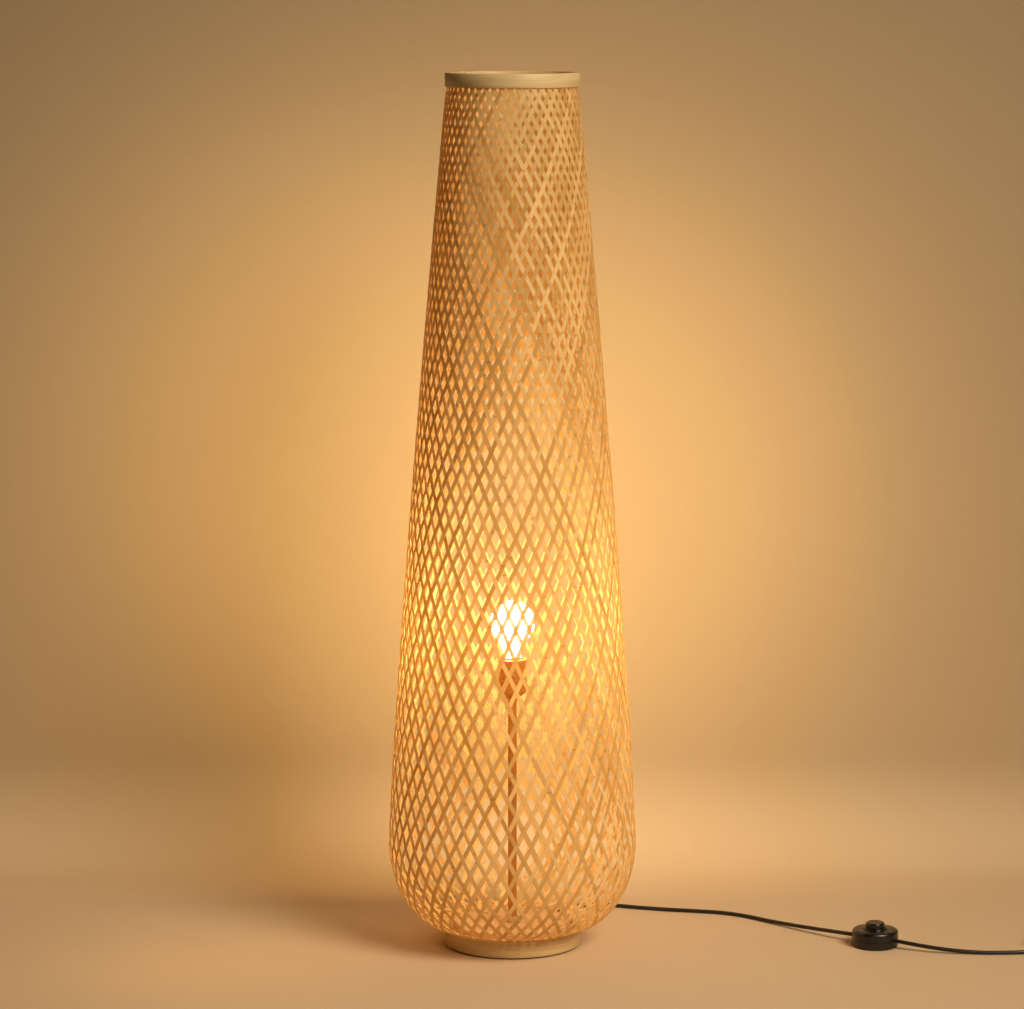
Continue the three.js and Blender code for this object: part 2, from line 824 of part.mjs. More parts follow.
// One face of the bulb's glass, outer or inner, from the neck up to the crown.
function globeFace(inset) {
  const neck = bulbCapRadius - bulbCapWall - clearance - inset;
  const neckLow = bulbBottom + bulbCapHeight - neckInsertion;
  const neckHigh = bulbBottom + bulbCapHeight + neckRise;
  const globe = globeRadius - inset;
  const arc = arcPoints(0, globeMiddle, globe, globeArcStart, 90, globeArcRows);
  const [startRadius, startHeight] = arc[0];
  const pull = (startHeight - neckHigh) * neckPullShare;
  const slope = radians(globeArcStart);
  const curve = new THREE.CubicBezierCurve(
    new THREE.Vector2(neck, neckHigh),
    new THREE.Vector2(neck, neckHigh + pull),
    new THREE.Vector2(startRadius + pull * Math.sin(slope), startHeight - pull * Math.cos(slope)),
    new THREE.Vector2(startRadius, startHeight),
  );
  const swell = curve.getPoints(neckRows).map((point) => [point.x, point.y]);
  arc[arc.length - 1][0] = 0;
  return [[neck, neckLow], ...swell.slice(0, -1), ...arc];
}

function bulbGlass() {
  const profile = [...globeFace(0).reverse(), ...globeFace(globeWall)];
  return place("bulb_glass", turned(profile, smallSides), opalGlass());
}

function bulbInside() {
  const foot = bulbBottom + bulbCapHeight - neckInsertion;
  const flare = bulbCapRadius - bulbCapWall - 2 * clearance - globeWall;
  const top = globeMiddle - mountDrop;
  const mount = [
    [0, foot],
    [flare, foot],
    [flare, foot + globeWall],
    [mountRodRadius, foot + mountFlareHeight],
    [mountRodRadius, top - mountButtonHeight],
    [mountButtonRadius, top - mountButtonHeight],
    [mountButtonRadius, top],
    [0, top],
  ];
  const seat = top + clearance;
  const middle = seat + filamentHeight / 2;
  const arch = new THREE.CatmullRomCurve3([
    new THREE.Vector3(-filamentFootSpread, 0, seat),
    new THREE.Vector3(-filamentSpread, 0, middle),
    new THREE.Vector3(0, 0, seat + filamentHeight),
    new THREE.Vector3(filamentSpread, 0, middle),
    new THREE.Vector3(filamentFootSpread, 0, seat),
  ]);
  return [
    place("bulb_mount", turned(mount, tinySides), clearGlass()),
    place("bulb_filament", tube(arch, filamentRadius, filamentSides, filamentSteps), brightSteel()),
  ];
}

function bulbCap() {
  const contactTop = bulbBottom + bulbContactHeight;
  const insulatorTop = contactTop + bulbInsulatorHeight;
  const insulatorRadius = bulbCapRadius - bulbCapFoot;
  const capTop = bulbBottom + bulbCapHeight;
  const inner = bulbCapRadius - bulbCapWall;
  const contact = [
    [0, bulbBottom],
    [bulbContactRadius - bulbContactHeight / 2, bulbBottom],
    [bulbContactRadius, contactTop],
    [0, contactTop],
  ];
  const insulator = [
    [0, contactTop],
    [bulbInsulatorFoot, contactTop],
    [insulatorRadius, insulatorTop],
    [0, insulatorTop],
  ];
  const cap = [
    [insulatorRadius + clearance, insulatorTop],
    [insulatorRadius + clearance + bulbCapWall, insulatorTop],
    [bulbCapRadius, insulatorTop + bulbCapFoot],
    [bulbCapRadius, capTop],
    [inner, capTop],
    [inner, insulatorTop + bulbCapFoot + bulbCapWall],
    [insulatorRadius + clearance, insulatorTop + bulbCapWall],
  ];
  return [
    place("bulb_contact", turned(contact, tinySides), brightSteel()),
    place("bulb_insulator", turned(insulator, tinySides), blackPlastic()),
    place("bulb_cap", turnedRing(cap, smallSides), brass()),
  ];
}

function section(radius, sides) {
  const shape = new THREE.Shape();
  for (let i = 0; i < sides; i += 1) {
    const angle = (2 * Math.PI * i) / sides;
    const corner = [radius * Math.cos(angle), radius * Math.sin(angle)];
    if (i === 0) shape.moveTo(...corner);
    else shape.lineTo(...corner);
  }
  shape.closePath();
  return shape;
}

function tube(path, radius, sides, steps) {
  const options = { steps, extrudePath: path, bevelEnabled: false };
  return closed(new THREE.ExtrudeGeometry(section(radius, sides), options));
}

function freeCord(name, route) {
  const points = route.map(([x, y, z]) => new THREE.Vector3(x, y, z));
  const path = new THREE.CatmullRomCurve3(points, false, "centripetal");
  const steps = Math.round(path.getLength() / (cordStepShare * cordDiameter));
  console.log(`${name}: ${path.getLength().toFixed(1)} mm`);
  return place(name, tube(path, cordRadius, cordSides, steps), blackFlex());
}

// Moulded gland: a plug through the hoops, a flange on the base ring and a taper along the flex.
function gland() {
  const innerEnd = baseRadius - glandDepth;
  const flange = baseRadius + clearance;
  const flangeEnd = flange + glandFlangeThickness;
  const profile = [
    [0, innerEnd],
    [glandRadius, innerEnd],
    [glandRadius, flange],
    [glandFlangeRadius, flange],
    [glandFlangeRadius, flangeEnd],
    [glandRadius, flangeEnd + glandFlangeThickness],
    [glandTipRadius, flangeEnd + glandReach],
    [0, flangeEnd + glandReach],
  ];
  const body = turned(profile, tinySides).rotateY(Math.PI / 2).translate(0, 0, glandHeight);
  return place("cord_gland", towardsGland(body), blackPlastic());
}

// The flex inside the lamp: in the board's groove, round one bend and up the stem.
function innerLead() {
  const start = baseRadius - glandDepth - clearance;
  const end = stemTop + leadTail;
  const path = new THREE.CurvePath();
  path.add(new THREE.LineCurve3(
    new THREE.Vector3(start, 0, glandHeight),
    new THREE.Vector3(leadBend, 0, glandHeight),
  ));
  path.add(new THREE.QuadraticBezierCurve3(
    new THREE.Vector3(leadBend, 0, glandHeight),
    new THREE.Vector3(0, 0, glandHeight),
    new THREE.Vector3(0, 0, glandHeight + leadBend),
  ));
  path.add(new THREE.LineCurve3(
    new THREE.Vector3(0, 0, glandHeight + leadBend),
    new THREE.Vector3(0, 0, end),
  ));
  const lead = tube(path, cordRadius, leadSides, leadSteps);
  return place("inner_lead", towardsGland(lead), blackFlex());
}

// Centre line of the coil: four layers that spiral in and out, with a straight end at both ends.
function coilLine() {
  const points = [];
  const steps = Math.round(coilTurns * coilStepsPerTurn);
  for (let i = 0; i <= steps; i += 1) {
    const turn = i / coilStepsPerTurn;
    const layers = turn / coilTurnsPerLayer;
    const layer = Math.min(Math.floor(layers), coilLayers - 1);
    const inwards = layer % 2 === 0 ? layers - layer : 1 - (layers - layer);
    const radius = coilOuterRadius - (coilOuterRadius - coilInnerRadius) * inwards;
    let height = coilLowHeight;
    for (let k = 1; k < coilLayers; k += 1) {
      const climb = (turn - k * coilTurnsPerLayer) / coilClimbTurns + 0.5;
      height += coilPitch * THREE.MathUtils.smoothstep(climb, 0, 1);
    }
    const angle = coilStartAngle + 2 * Math.PI * turn;
    points.push(new THREE.Vector3(radius * Math.cos(angle), radius * Math.sin(angle), height));
  }
  const straight = (from, angle, along) => new THREE.Vector3(
    from.x - along * cordDiameter * Math.sin(angle),
    from.y + along * cordDiameter * Math.cos(angle),
    from.z,
  );
  const endAngle = coilStartAngle + 2 * Math.PI * coilTurns;
  points.unshift(straight(points[0], coilStartAngle, -1));
  points.push(straight(points[points.length - 1], endAngle, 1));
  return points;
}

// One unbroken tube along a line of points, with flat ends.
function sweptTube(line, radius, sides) {
  const corners = [];
  const faces = [];
  const up = new THREE.Vector3(0, 0, 1);
  line.forEach((point, i) => {
    const ahead = line[Math.min(i + 1, line.length - 1)];
    const behind = line[Math.max(i - 1, 0)];
    const along = ahead.clone().sub(behind).normalize();
    const side = along.clone().cross(up).normalize();
    const rise = side.clone().cross(along);
    for (let k = 0; k < sides; k += 1) {
      const angle = (2 * Math.PI * (k + 0.5)) / sides;
      const corner = point.clone();
      corner.addScaledVector(side, radius * Math.cos(angle));
      corner.addScaledVector(rise, radius * Math.sin(angle));
      corners.push(...corner.toArray());
    }
  });
  for (let i = 0; i + 1 < line.length; i += 1) {
    for (let k = 0; k < sides; k += 1) {
      const next = (k + 1) % sides;
      const [a, b] = [i * sides + k, i * sides + next];
      faces.push(a, b, a + sides, b, b + sides, a + sides);
    }
  }
  const last = (line.length - 1) * sides;
  for (let k = 1; k + 1 < sides; k += 1) {
    faces.push(0, k + 1, k, last, last + k, last + k + 1);
  }
  const geometry = new THREE.BufferGeometry();
  geometry.setAttribute("position", new THREE.Float32BufferAttribute(corners, 3));
  geometry.setIndex(faces);
  return closed(geometry);
}

function leastGap(line) {
  let least = Infinity;
  for (let i = 0; i < line.length; i += 1) {
    for (let k = i + coilStepsPerTurn / 2; k < line.length; k += 1) {
      least = Math.min(least, line[i].distanceTo(line[k]));
    }
  }
  return least - cordDiameter;
}

function lineLength(line) {
  return line.slice(1).reduce((sum, point, i) => sum + point.distanceTo(line[i]), 0);
}

function coil() {
  const line = coilLine();
  const gap = leastGap(line).toFixed(2);
  console.log(`cord_coil: ${lineLength(line).toFixed(1)} mm, least gap to itself ${gap} mm`);
  const body = sweptTube(line, cordRadius, coilSides).translate(coilCentreX, coilCentreY, 0);
  return place("cord_coil", body, blackFlex());
}

// Strap round the coil's far side, flat on the floor under it.
function coilTie() {
  const innerCurve = (coilInnerRadius - cordRadius) ** 2 - (tieWidth / 2) ** 2;
  const near = Math.sqrt(innerCurve) - clearance;
  const far = coilOuterRadius + cordRadius + clearance;
  const high = coilLowHeight + (coilLayers - 1) * coilPitch + cordRadius + clearance;
  const outline = new THREE.Shape();
  const [left, right] = [near - tieThickness, far + tieThickness];
  const top = high + tieThickness;
  outline.moveTo(left + tieEdge, 0);
  outline.lineTo(right - tieEdge, 0);
  outline.lineTo(right, tieEdge);
  outline.lineTo(right, top - tieEdge);
  outline.lineTo(right - tieEdge, top);
  outline.lineTo(left + tieEdge, top);
  outline.lineTo(left, top - tieEdge);
  outline.lineTo(left, tieEdge);
  const hole = new THREE.Path();
  hole.moveTo(near, tieThickness);
  hole.lineTo(far, tieThickness);
  hole.lineTo(far, high);
  hole.lineTo(near, high);
  outline.holes.push(hole);
  const strap = new THREE.ExtrudeGeometry(outline, { depth: tieWidth, bevelEnabled: false });
  strap.translate(0, 0, -tieWidth / 2).rotateX(Math.PI / 2).rotateZ(Math.PI / 2);
  strap.translate(coilCentreX, coilCentreY, 0);
  return place("cord_tie", closed(strap), felt());
}

function bossPlaces() {
  return [-bossOffset, bossOffset];
}

function switchBase() {
  const low = switchFootThickness;
  const floor = low + switchFloor;
  const rim = switchSeamHeight - clearance / 2;
  const shell = turned([
    [0, low],
    [switchRadius - switchChamfer, low],
    [switchRadius, low + switchChamfer],
    [switchRadius, rim],
    [switchRadius - switchWall, rim],
    [switchRadius - switchWall, floor],
    [0, floor],
  ], smallSides);
  const shank = switchScrewShank + clearance;
  const headHole = switchScrewHead + clearance;
  const headTop = low + switchScrewHeadHeight + clearance;
  const bosses = bossPlaces().map((y) =>
    rod(bossRadius, floor - switchFloor / 2, rim, tinySides).translate(0, y, 0));
  const holes = bossPlaces().flatMap((y) => [
    rod(shank, low - cutOverrun, rim + cutOverrun, tinySides).translate(0, y, 0),
    rod(headHole, low - cutOverrun, headTop, tinySides).translate(0, y, 0),
  ]);
  return place("switch_base", cut(join(shell, ...bosses), ...holes, cordHole()), blackPlastic());
}

function cordHole() {
  const reach = switchRadius + cutOverrun;
  return crossBar(cordRadius + clearance, -reach, reach, switchSeamHeight);
}

function switchCover() {
  const low = switchSeamHeight + clearance / 2;
  const bore = buttonRadius + clearance;
  const inner = switchRadius - switchWall;
  const innerEdge = switchEdge - switchTopThickness;
  const shell = turnedRing([
    [bore, switchUnder],
    [bore, switchHeight],
    ...arcPoints(switchRadius - switchEdge, switchHeight - switchEdge, switchEdge, 90, 0, switchEdgeRows),
    [switchRadius, low],
    [inner, low],
    [inner, switchUnder - innerEdge],
    [inner - innerEdge, switchUnder],
  ], smallSides);
  const bosses = bossPlaces().map((y) =>
    rod(bossRadius, low, switchUnder + switchTopThickness / 2, tinySides).translate(0, y, 0));
  const pilotTop = switchFootThickness + switchScrewHeadHeight + switchScrewReach + clearance;
  const pilots = bossPlaces().map((y) =>
    rod(switchScrewShank + clearance, low - cutOverrun, pilotTop, tinySides).translate(0, y, 0));
  return place("switch_cover", cut(join(shell, ...bosses), ...pilots, cordHole()), blackPlastic());
}

function switchScrews() {
  const low = switchFootThickness;
  const headTop = low + switchScrewHeadHeight;
  const tip = headTop + switchScrewReach;
  const profile = [
    [0, low],
    [switchScrewHead, low],
    [switchScrewHead, headTop],
    [switchScrewShank, headTop],
    [switchScrewShank, tip - switchScrewShank],
    [0, tip],
  ];
  return bossPlaces().map((y, i) =>
    place(`switch_screw_${i + 1}`, turned(profile, tinySides).translate(0, y, 0), brightSteel()));
}

function switchButton() {
  const edgeHeight = buttonTop - buttonEdge;
  const body = turned([
    [0, buttonTop],
    ...arcPoints(buttonRadius - buttonEdge, edgeHeight, buttonEdge, 90, 0, switchEdgeRows),
    [buttonRadius, buttonFlangeTop],
    [buttonRadius + buttonFlange, buttonFlangeTop],
    [buttonRadius + buttonFlange, buttonFlangeLow],
    [buttonHollowRadius, buttonFlangeLow],
    [buttonHollowRadius, buttonTop - buttonTopThickness],
    [0, buttonTop - buttonTopThickness],
  ], smallSides);
  const bridge = sleeve(bridgeInnerRadius, bridgeOuterRadius, bridgeLow, bridgeTop, smallSides);
  return [place("switch_button", body, blackPlastic()), place("switch_bridge", bridge, brass())];
}

function switchInside() {
  const floor = switchFootThickness + switchFloor;
  const block = turned([
    [0, floor],
    [blockRadius, floor],
    [blockRadius, blockTop],
    [postRadius, blockTop],
    [postRadius, blockTop + postHeight],
    [0, blockTop + postHeight],
  ], smallSides);
  const pieces = [place("switch_block", block, blackPlastic())];
  [-contactOffset, contactOffset].forEach((y, i) => {
    const post = closed(new THREE.BoxGeometry(contactSize, contactSize, contactHeight));
    post.translate(0, y, blockTop + contactHeight / 2);
    pieces.push(place(`switch_contact_${i + 1}`, post, brass()));
  });
  const springLow = blockTop + clearance + springWire / 2;
  const springHigh = buttonTop - buttonTopThickness - clearance - springWire / 2;
  const line = [];
  const steps = springTurns * springStepsPerTurn;
  for (let i = 0; i <= steps; i += 1) {
    const angle = (2 * Math.PI * i) / springStepsPerTurn;
    const height = springLow + ((springHigh - springLow) * i) / steps;
    line.push(new THREE.Vector3(springRadius * Math.cos(angle), springRadius * Math.sin(angle), height));
  }
  pieces.push(place("switch_spring", sweptTube(line, springWire / 2, springSides), brightSteel()));
  return pieces;
}

function footSwitch() {
  const group = new THREE.Group();
  const foot = rod(switchRadius - switchFootInset, 0, switchFootThickness, smallSides);
  group.add(place("switch_foot", foot, felt()));
  group.add(switchBase(), switchCover(), ...switchScrews(), ...switchButton(), ...switchInside());
  group.position.set(switchX, switchY, 0);
  group.rotation.z = radians(switchHeading);
  return group;
}

function plugBody() {
  const half = plugWidth / 2 - plugBevel;
  const neck = plugNeckWidth / 2 - plugBevel;
  const shoulder = plugLength * plugShoulderShare;
  const front = plugLength - plugBevel;
  const outline = new THREE.Shape();
  outline.moveTo(-neck, plugBevel);
  outline.lineTo(neck, plugBevel);
  outline.quadraticCurveTo(half, shoulder / 2, half, shoulder);
  outline.lineTo(half, front);
  outline.lineTo(-half, front);
  outline.lineTo(-half, shoulder);
  outline.quadraticCurveTo(-half, shoulder / 2, -neck, plugBevel);
  const body = new THREE.ExtrudeGeometry(outline, {
    depth: plugThickness - 2 * plugBevel,
    bevelThickness: plugBevel,
    bevelSize: plugBevel,
    bevelSegments: plugBevelRows,
    curveSegments: plugCornerRows,
  });
  return closed(body.translate(0, reliefLength + clearance, plugBevel - plugThickness / 2));
}

function plug() {
  const group = new THREE.Group();
  const alongY = (geometry) => geometry.rotateX(-Math.PI / 2);
  const relief = turned([
    [0, 0],
    [reliefTipRadius, 0],
    [reliefRootRadius, reliefLength],
    [0, reliefLength],
  ], tinySides);
  group.add(place("plug_relief", alongY(relief), blackPlastic()));
  group.add(place("plug_body", plugBody(), blackPlastic()));
  const face = reliefLength + plugLength + 2 * clearance;
  [-pinSpacing / 2, pinSpacing / 2].forEach((x, i) => {
    const pin = turned([
      [0, face],
      [pinCoreRadius, face],
      [pinCoreRadius, face + sleeveLength + clearance],
      [pinRadius, face + sleeveLength + clearance],
      [pinRadius, face + pinLength - pinTip],
      [pinRadius - pinTip, face + pinLength],
      [0, face + pinLength],
    ], tinySides);
    const cover = sleeve(pinCoreRadius + clearance, pinRadius, face, face + sleeveLength, tinySides);
    group.add(place(`plug_pin_${i + 1}`, alongY(pin).translate(x, 0, 0), brightSteel()));
    group.add(place(`plug_sleeve_${i + 1}`, alongY(cover).translate(x, 0, 0), blackPlastic()));
  });
  group.position.set(plugX, plugTailY + clearance, plugThickness / 2);
  return group;
}

const lamp = new THREE.Group();
lamp.add(footRing(), ...baseHoops(), baseBoard(), ballast(), ...ballastScrews(), ...stem());
lamp.add(wovenShade(), ...rimHoops());
lamp.add(holderCap(), holderSleeve(), ...holderInside());
lamp.add(bulbGlass(), ...bulbInside(), ...bulbCap());
lamp.add(gland(), innerLead(), freeCord("cord_to_switch", routeToSwitch), footSwitch());
lamp.add(freeCord("cord_from_switch", routeFromSwitch), coil(), coilTie());
lamp.add(freeCord("cord_to_plug", routeToPlug), plug());

export default lamp;
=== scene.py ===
"""A tall floor lamp of open-woven bamboo on a weighted round base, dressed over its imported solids.

Metres, +Z up, origin at the centre of the base on the floor, front towards -Y.
"""

import json
import logging
import math
import random
from dataclasses import dataclass
from enum import Enum
from typing import Callable, Iterable, Sequence

import bpy
import numpy as np
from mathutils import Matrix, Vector

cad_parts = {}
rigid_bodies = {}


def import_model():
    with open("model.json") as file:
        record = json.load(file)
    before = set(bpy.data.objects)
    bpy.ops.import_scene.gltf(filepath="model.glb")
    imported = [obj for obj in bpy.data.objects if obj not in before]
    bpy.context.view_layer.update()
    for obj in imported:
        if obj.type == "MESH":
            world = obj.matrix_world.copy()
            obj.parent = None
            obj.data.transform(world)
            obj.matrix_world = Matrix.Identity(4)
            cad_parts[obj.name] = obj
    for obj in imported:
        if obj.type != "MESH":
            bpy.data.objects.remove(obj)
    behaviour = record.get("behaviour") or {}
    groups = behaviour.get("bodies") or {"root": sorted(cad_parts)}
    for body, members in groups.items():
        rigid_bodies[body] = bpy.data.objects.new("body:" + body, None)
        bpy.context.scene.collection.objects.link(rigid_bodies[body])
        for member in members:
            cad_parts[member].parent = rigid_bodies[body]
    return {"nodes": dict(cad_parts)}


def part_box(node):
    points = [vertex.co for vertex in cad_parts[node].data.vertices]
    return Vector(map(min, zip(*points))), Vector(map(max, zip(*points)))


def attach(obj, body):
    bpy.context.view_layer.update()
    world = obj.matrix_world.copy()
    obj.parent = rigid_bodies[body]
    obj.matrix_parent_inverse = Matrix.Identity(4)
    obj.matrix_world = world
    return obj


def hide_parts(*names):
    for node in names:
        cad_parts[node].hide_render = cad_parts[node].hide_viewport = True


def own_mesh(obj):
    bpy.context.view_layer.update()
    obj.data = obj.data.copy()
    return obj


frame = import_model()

LOG = logging.getLogger("bamboo_lamp")
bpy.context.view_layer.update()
NODES = frame["nodes"]
WELD = 0.000002
SEED_SIZE = 0.001
UV_NAME = "lath"
TONE_NAME = "lath_tone"
UP = (0.0, 0.0, 1.0)

Point = tuple[float, float, float]
Spot = tuple[float, float]
Profile = Sequence[Spot]
Colour = tuple[float, float, float, float]
Piece = bpy.types.Object
Look = bpy.types.Material
Node = bpy.types.Node
Socket = bpy.types.NodeSocket
Rule = Callable[[np.ndarray], np.ndarray]


class Body(Enum):
    """The bodies that pieces ride on."""

    LAMP = "lamp"
    BULB = "bulb"
    BUTTON = "foot_button"


class Lean(Enum):
    """Which way a strip runs round the body as it goes down."""

    RIGHT = 1
    LEFT = -1


class Workshop:
    """Steps at the bench, most of them done with Blender's own operators."""

    @staticmethod
    def put_down() -> None:
        """Leaves edit mode and deselects everything."""
        if bpy.context.object is not None and bpy.context.object.mode != "OBJECT":
            bpy.ops.object.mode_set(mode="OBJECT")
        bpy.ops.object.select_all(action="DESELECT")

    @classmethod
    def pick_up(cls, pieces: Iterable[Piece]) -> None:
        """Selects only some pieces, the first of them active.

        Args:
            pieces: The pieces to select.
        """
        cls.put_down()
        chosen = list(pieces)
        for piece in chosen:
            piece.select_set(True)
        bpy.context.view_layer.objects.active = chosen[0]

    @classmethod
    def settle(cls, piece: Piece, name: str) -> Piece:
        """Moves a piece's place into its mesh and names it.

        Args:
            piece: The piece, wherever its object stands.
            name: Its name.

        Returns:
            The same piece, its object at the origin.
        """
        cls.pick_up([piece])
        bpy.ops.object.transform_apply(location=True, rotation=True, scale=True)
        piece.name = name
        piece.data.name = name
        return piece

    @classmethod
    def place(cls, piece: Piece, at: Point, turn: Point = (0.0, 0.0, 0.0)) -> Piece:
        """Turns a piece about the origin, moves it and settles it there.

        Args:
            piece: A settled piece.
            at: Where its own origin goes.
            turn: Its angles about X, then Y, then Z.

        Returns:
            The same piece, settled.
        """
        piece.rotation_euler = turn
        piece.location = at
        return cls.settle(piece, piece.name)

    @staticmethod
    def mark(piece: Piece, test: Callable[[Vector, Vector], bool]) -> None:
        """Selects, in edit mode, the edges whose two ends pass a test.

        Args:
            piece: The piece being edited.
            test: Takes the two ends of an edge.
        """
        bpy.ops.mesh.select_mode(type="EDGE")
        bpy.ops.mesh.select_all(action="DESELECT")
        bpy.ops.object.mode_set(mode="OBJECT")
        points = piece.data.vertices
        for edge in piece.data.edges:
            first, second = edge.vertices
            edge.select = test(points[first].co, points[second].co)
        bpy.ops.object.mode_set(mode="EDIT")

    @classmethod
    def draw(cls, points: Sequence[Point]) -> Piece:
        """Draws a line by extruding one point through the others, and stays in edit mode.

        Args:
            points: The line's points, in order.

        Returns:
            The line, all of it selected.
        """
        cls.put_down()
        bpy.ops.mesh.primitive_plane_add(size=SEED_SIZE, location=points[0])
        bpy.ops.object.mode_set(mode="EDIT")
        bpy.ops.mesh.select_mode(type="VERT")
        bpy.ops.mesh.select_all(action="SELECT")
        bpy.ops.mesh.merge(type="CENTER")
        for here, there in zip(points, points[1:]):
            step = tuple(end - start for start, end in zip(here, there))
            bpy.ops.mesh.extrude_vertices_move(TRANSFORM_OT_translate={"value": step})
        bpy.ops.mesh.select_all(action="SELECT")
        return bpy.context.object

    @staticmethod
    def face_outwards() -> None:
        """Turns all faces of the piece in edit mode outwards and leaves edit mode."""
        bpy.ops.mesh.select_all(action="SELECT")
        bpy.ops.mesh.normals_make_consistent(inside=False)
        bpy.ops.object.mode_set(mode="OBJECT")

    @classmethod
    def turn(cls, name: str, profile: Profile, sides: int) -> Piece:
        """Spins a profile round the Z axis.

        Args:
            name: The piece's name.
            profile: Radius and height of each point. It ends on the axis or where it began.
            sides: Steps round the axis.

        Returns:
            A closed turned piece.
        """
        piece = cls.draw([(radius, 0.0, height) for radius, height in profile])
        bpy.ops.mesh.spin(steps=sides, angle=math.tau, center=(0.0, 0.0, 0.0), axis=UP)
        bpy.ops.mesh.select_all(action="SELECT")
        bpy.ops.mesh.remove_doubles(threshold=WELD)
        cls.face_outwards()
        return cls.settle(piece, name)

    @classmethod
    def lath(cls, name: str, width: float, thickness: float, edge: float, rows: int) -> Piece:
        """Makes a straight strip from 0 to 1 along X, with eased edges, cut across into rows.

        Args:
            name: The piece's name.
            width: Its size along Y.
            thickness: Its size along Z.
            edge: How far its long edges are eased.
            rows: How many rows of points it has along its length.

        Returns:
            The strip.
        """
        cls.put_down()
        scale = (1.0, width, thickness)
        bpy.ops.mesh.primitive_cube_add(size=1.0, location=(0.5, 0.0, 0.0), scale=scale)
        piece = cls.settle(bpy.context.object, name)

        def lengthwise(a: Vector, b: Vector) -> bool:
            """Tells whether an edge runs along the strip."""
            return abs(a.x - b.x) > 0.5

        bpy.ops.object.mode_set(mode="EDIT")
        cls.mark(piece, lengthwise)
        bpy.ops.mesh.bevel(offset=edge, segments=1, offset_type="OFFSET")
        cls.mark(piece, lengthwise)
        bpy.ops.mesh.subdivide(number_cuts=rows - 2)
        bpy.ops.object.mode_set(mode="OBJECT")
        return piece

    @classmethod
    def slab(cls, name: str, outline: Profile, low: float, high: float, edge: float) -> Piece:
        """Fills a flat outline, raises it and rounds its rims.

        Args:
            name: The piece's name.
            outline: X and Y of each corner, once round.
            low: Height of its underside.
            high: Height of its top.
            edge: Radius of its rims.

        Returns:
            A closed slab with rounded rims.
        """
        piece = cls.draw([(x, y, low) for x, y in [*outline, outline[0]]])
        bpy.ops.mesh.remove_doubles(threshold=WELD)
        bpy.ops.mesh.select_all(action="SELECT")
        bpy.ops.mesh.edge_face_add()
        rise = {"value": (0.0, 0.0, high - low)}
        bpy.ops.mesh.extrude_region_move(TRANSFORM_OT_translate=rise)
        cls.face_outwards()
        cls.settle(piece, name)
        bpy.ops.object.mode_set(mode="EDIT")
        cls.mark(piece, lambda a, b: abs(a.z - b.z) < WELD)
        bpy.ops.mesh.bevel(offset=edge, segments=4, offset_type="OFFSET", clamp_overlap=True)
        bpy.ops.object.mode_set(mode="OBJECT")
        return piece

    @staticmethod
    def places(piece: Piece) -> np.ndarray:
        """Reads where a piece's points are.

        Args:
            piece: The piece.

        Returns:
            Rows of X, Y and Z.
        """
        flat = np.empty(len(piece.data.vertices) * 3, dtype=np.float32)
        piece.data.vertices.foreach_get("co", flat)
        return flat.reshape(-1, 3)

    @classmethod
    def bend(cls, piece: Piece, rule: Rule) -> None:
        """Moves every point of a piece to where a rule puts it.

        Args:
            piece: The piece.
            rule: Takes the points as rows of X, Y and Z and gives their new places.
        """
        moved = rule(cls.places(piece).astype(np.float64))
        piece.data.vertices.foreach_set("co", moved.astype(np.float32).ravel())
        piece.data.update()

    @classmethod
    def bore(cls, piece: Piece, start: Vector, end: Vector, radius: float) -> None:
        """Drills a round hole through a piece from one point to another.

        Args:
            piece: The piece.
            start: One end of the drill.
            end: The other end.
            radius: The drill's radius.
        """
        along = end - start
        cls.put_down()
        bpy.ops.mesh.primitive_cylinder_add(
            vertices=32, radius=radius, depth=along.length, location=tuple((start + end) / 2)
        )
        drill = bpy.context.object
        drill.rotation_euler = along.to_track_quat("Z", "Y").to_euler()
        cls.pick_up([piece])
        cutter = piece.modifiers.new("bore", "BOOLEAN")
        cutter.operation = "DIFFERENCE"
        cutter.solver = "EXACT"
        cutter.object = drill
        bpy.ops.object.modifier_apply(modifier=cutter.name)
        bpy.data.objects.remove(drill)

    @classmethod
    def join(cls, pieces: Sequence[Piece], name: str) -> Piece:
        """Joins pieces into one.

        Args:
            pieces: The pieces, each with the same maps.
            name: The joined piece's name.

        Returns:
            The joined piece.
        """
        cls.pick_up(pieces)
        if len(pieces) > 1:
            bpy.ops.object.join()
        return cls.settle(bpy.context.object, name)

    @classmethod
    def smooth(cls, piece: Piece, degrees: float) -> None:
        """Shades a piece smooth, apart from its sharper edges.

        Args:
            piece: The piece.
            degrees: Edges that turn by more than this stay sharp.
        """
        cls.pick_up([piece])
        bpy.ops.object.shade_smooth_by_angle(angle=math.radians(degrees))

    @classmethod
    def hand_over(
        cls, piece: Piece, body: Body, slot: str, look: Look, nodes: Sequence[str],
        degrees: float | None = 35.0
    ) -> Piece:
        """Gives a piece its shading, its finish and its body, and hides the solids that it stands
        for.

        Args:
            piece: The finished mesh or curve.
            body: The body that it rides on.
            slot: The record's material slot. Not used.
            look: Its main material.
            nodes: The CAD nodes that it replaces.
            degrees: Edges that turn by more than this stay sharp. None leaves the shading.

        Returns:
            The same piece.
        """
        if degrees is not None:
            cls.smooth(piece, degrees)
        if piece.data.materials:
            piece.data.materials[0] = look
        else:
            piece.data.materials.append(look)
        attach(piece, body.value)
        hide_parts(*nodes)
        LOG.info("%s rides on %s", piece.name, body.value)
        return piece


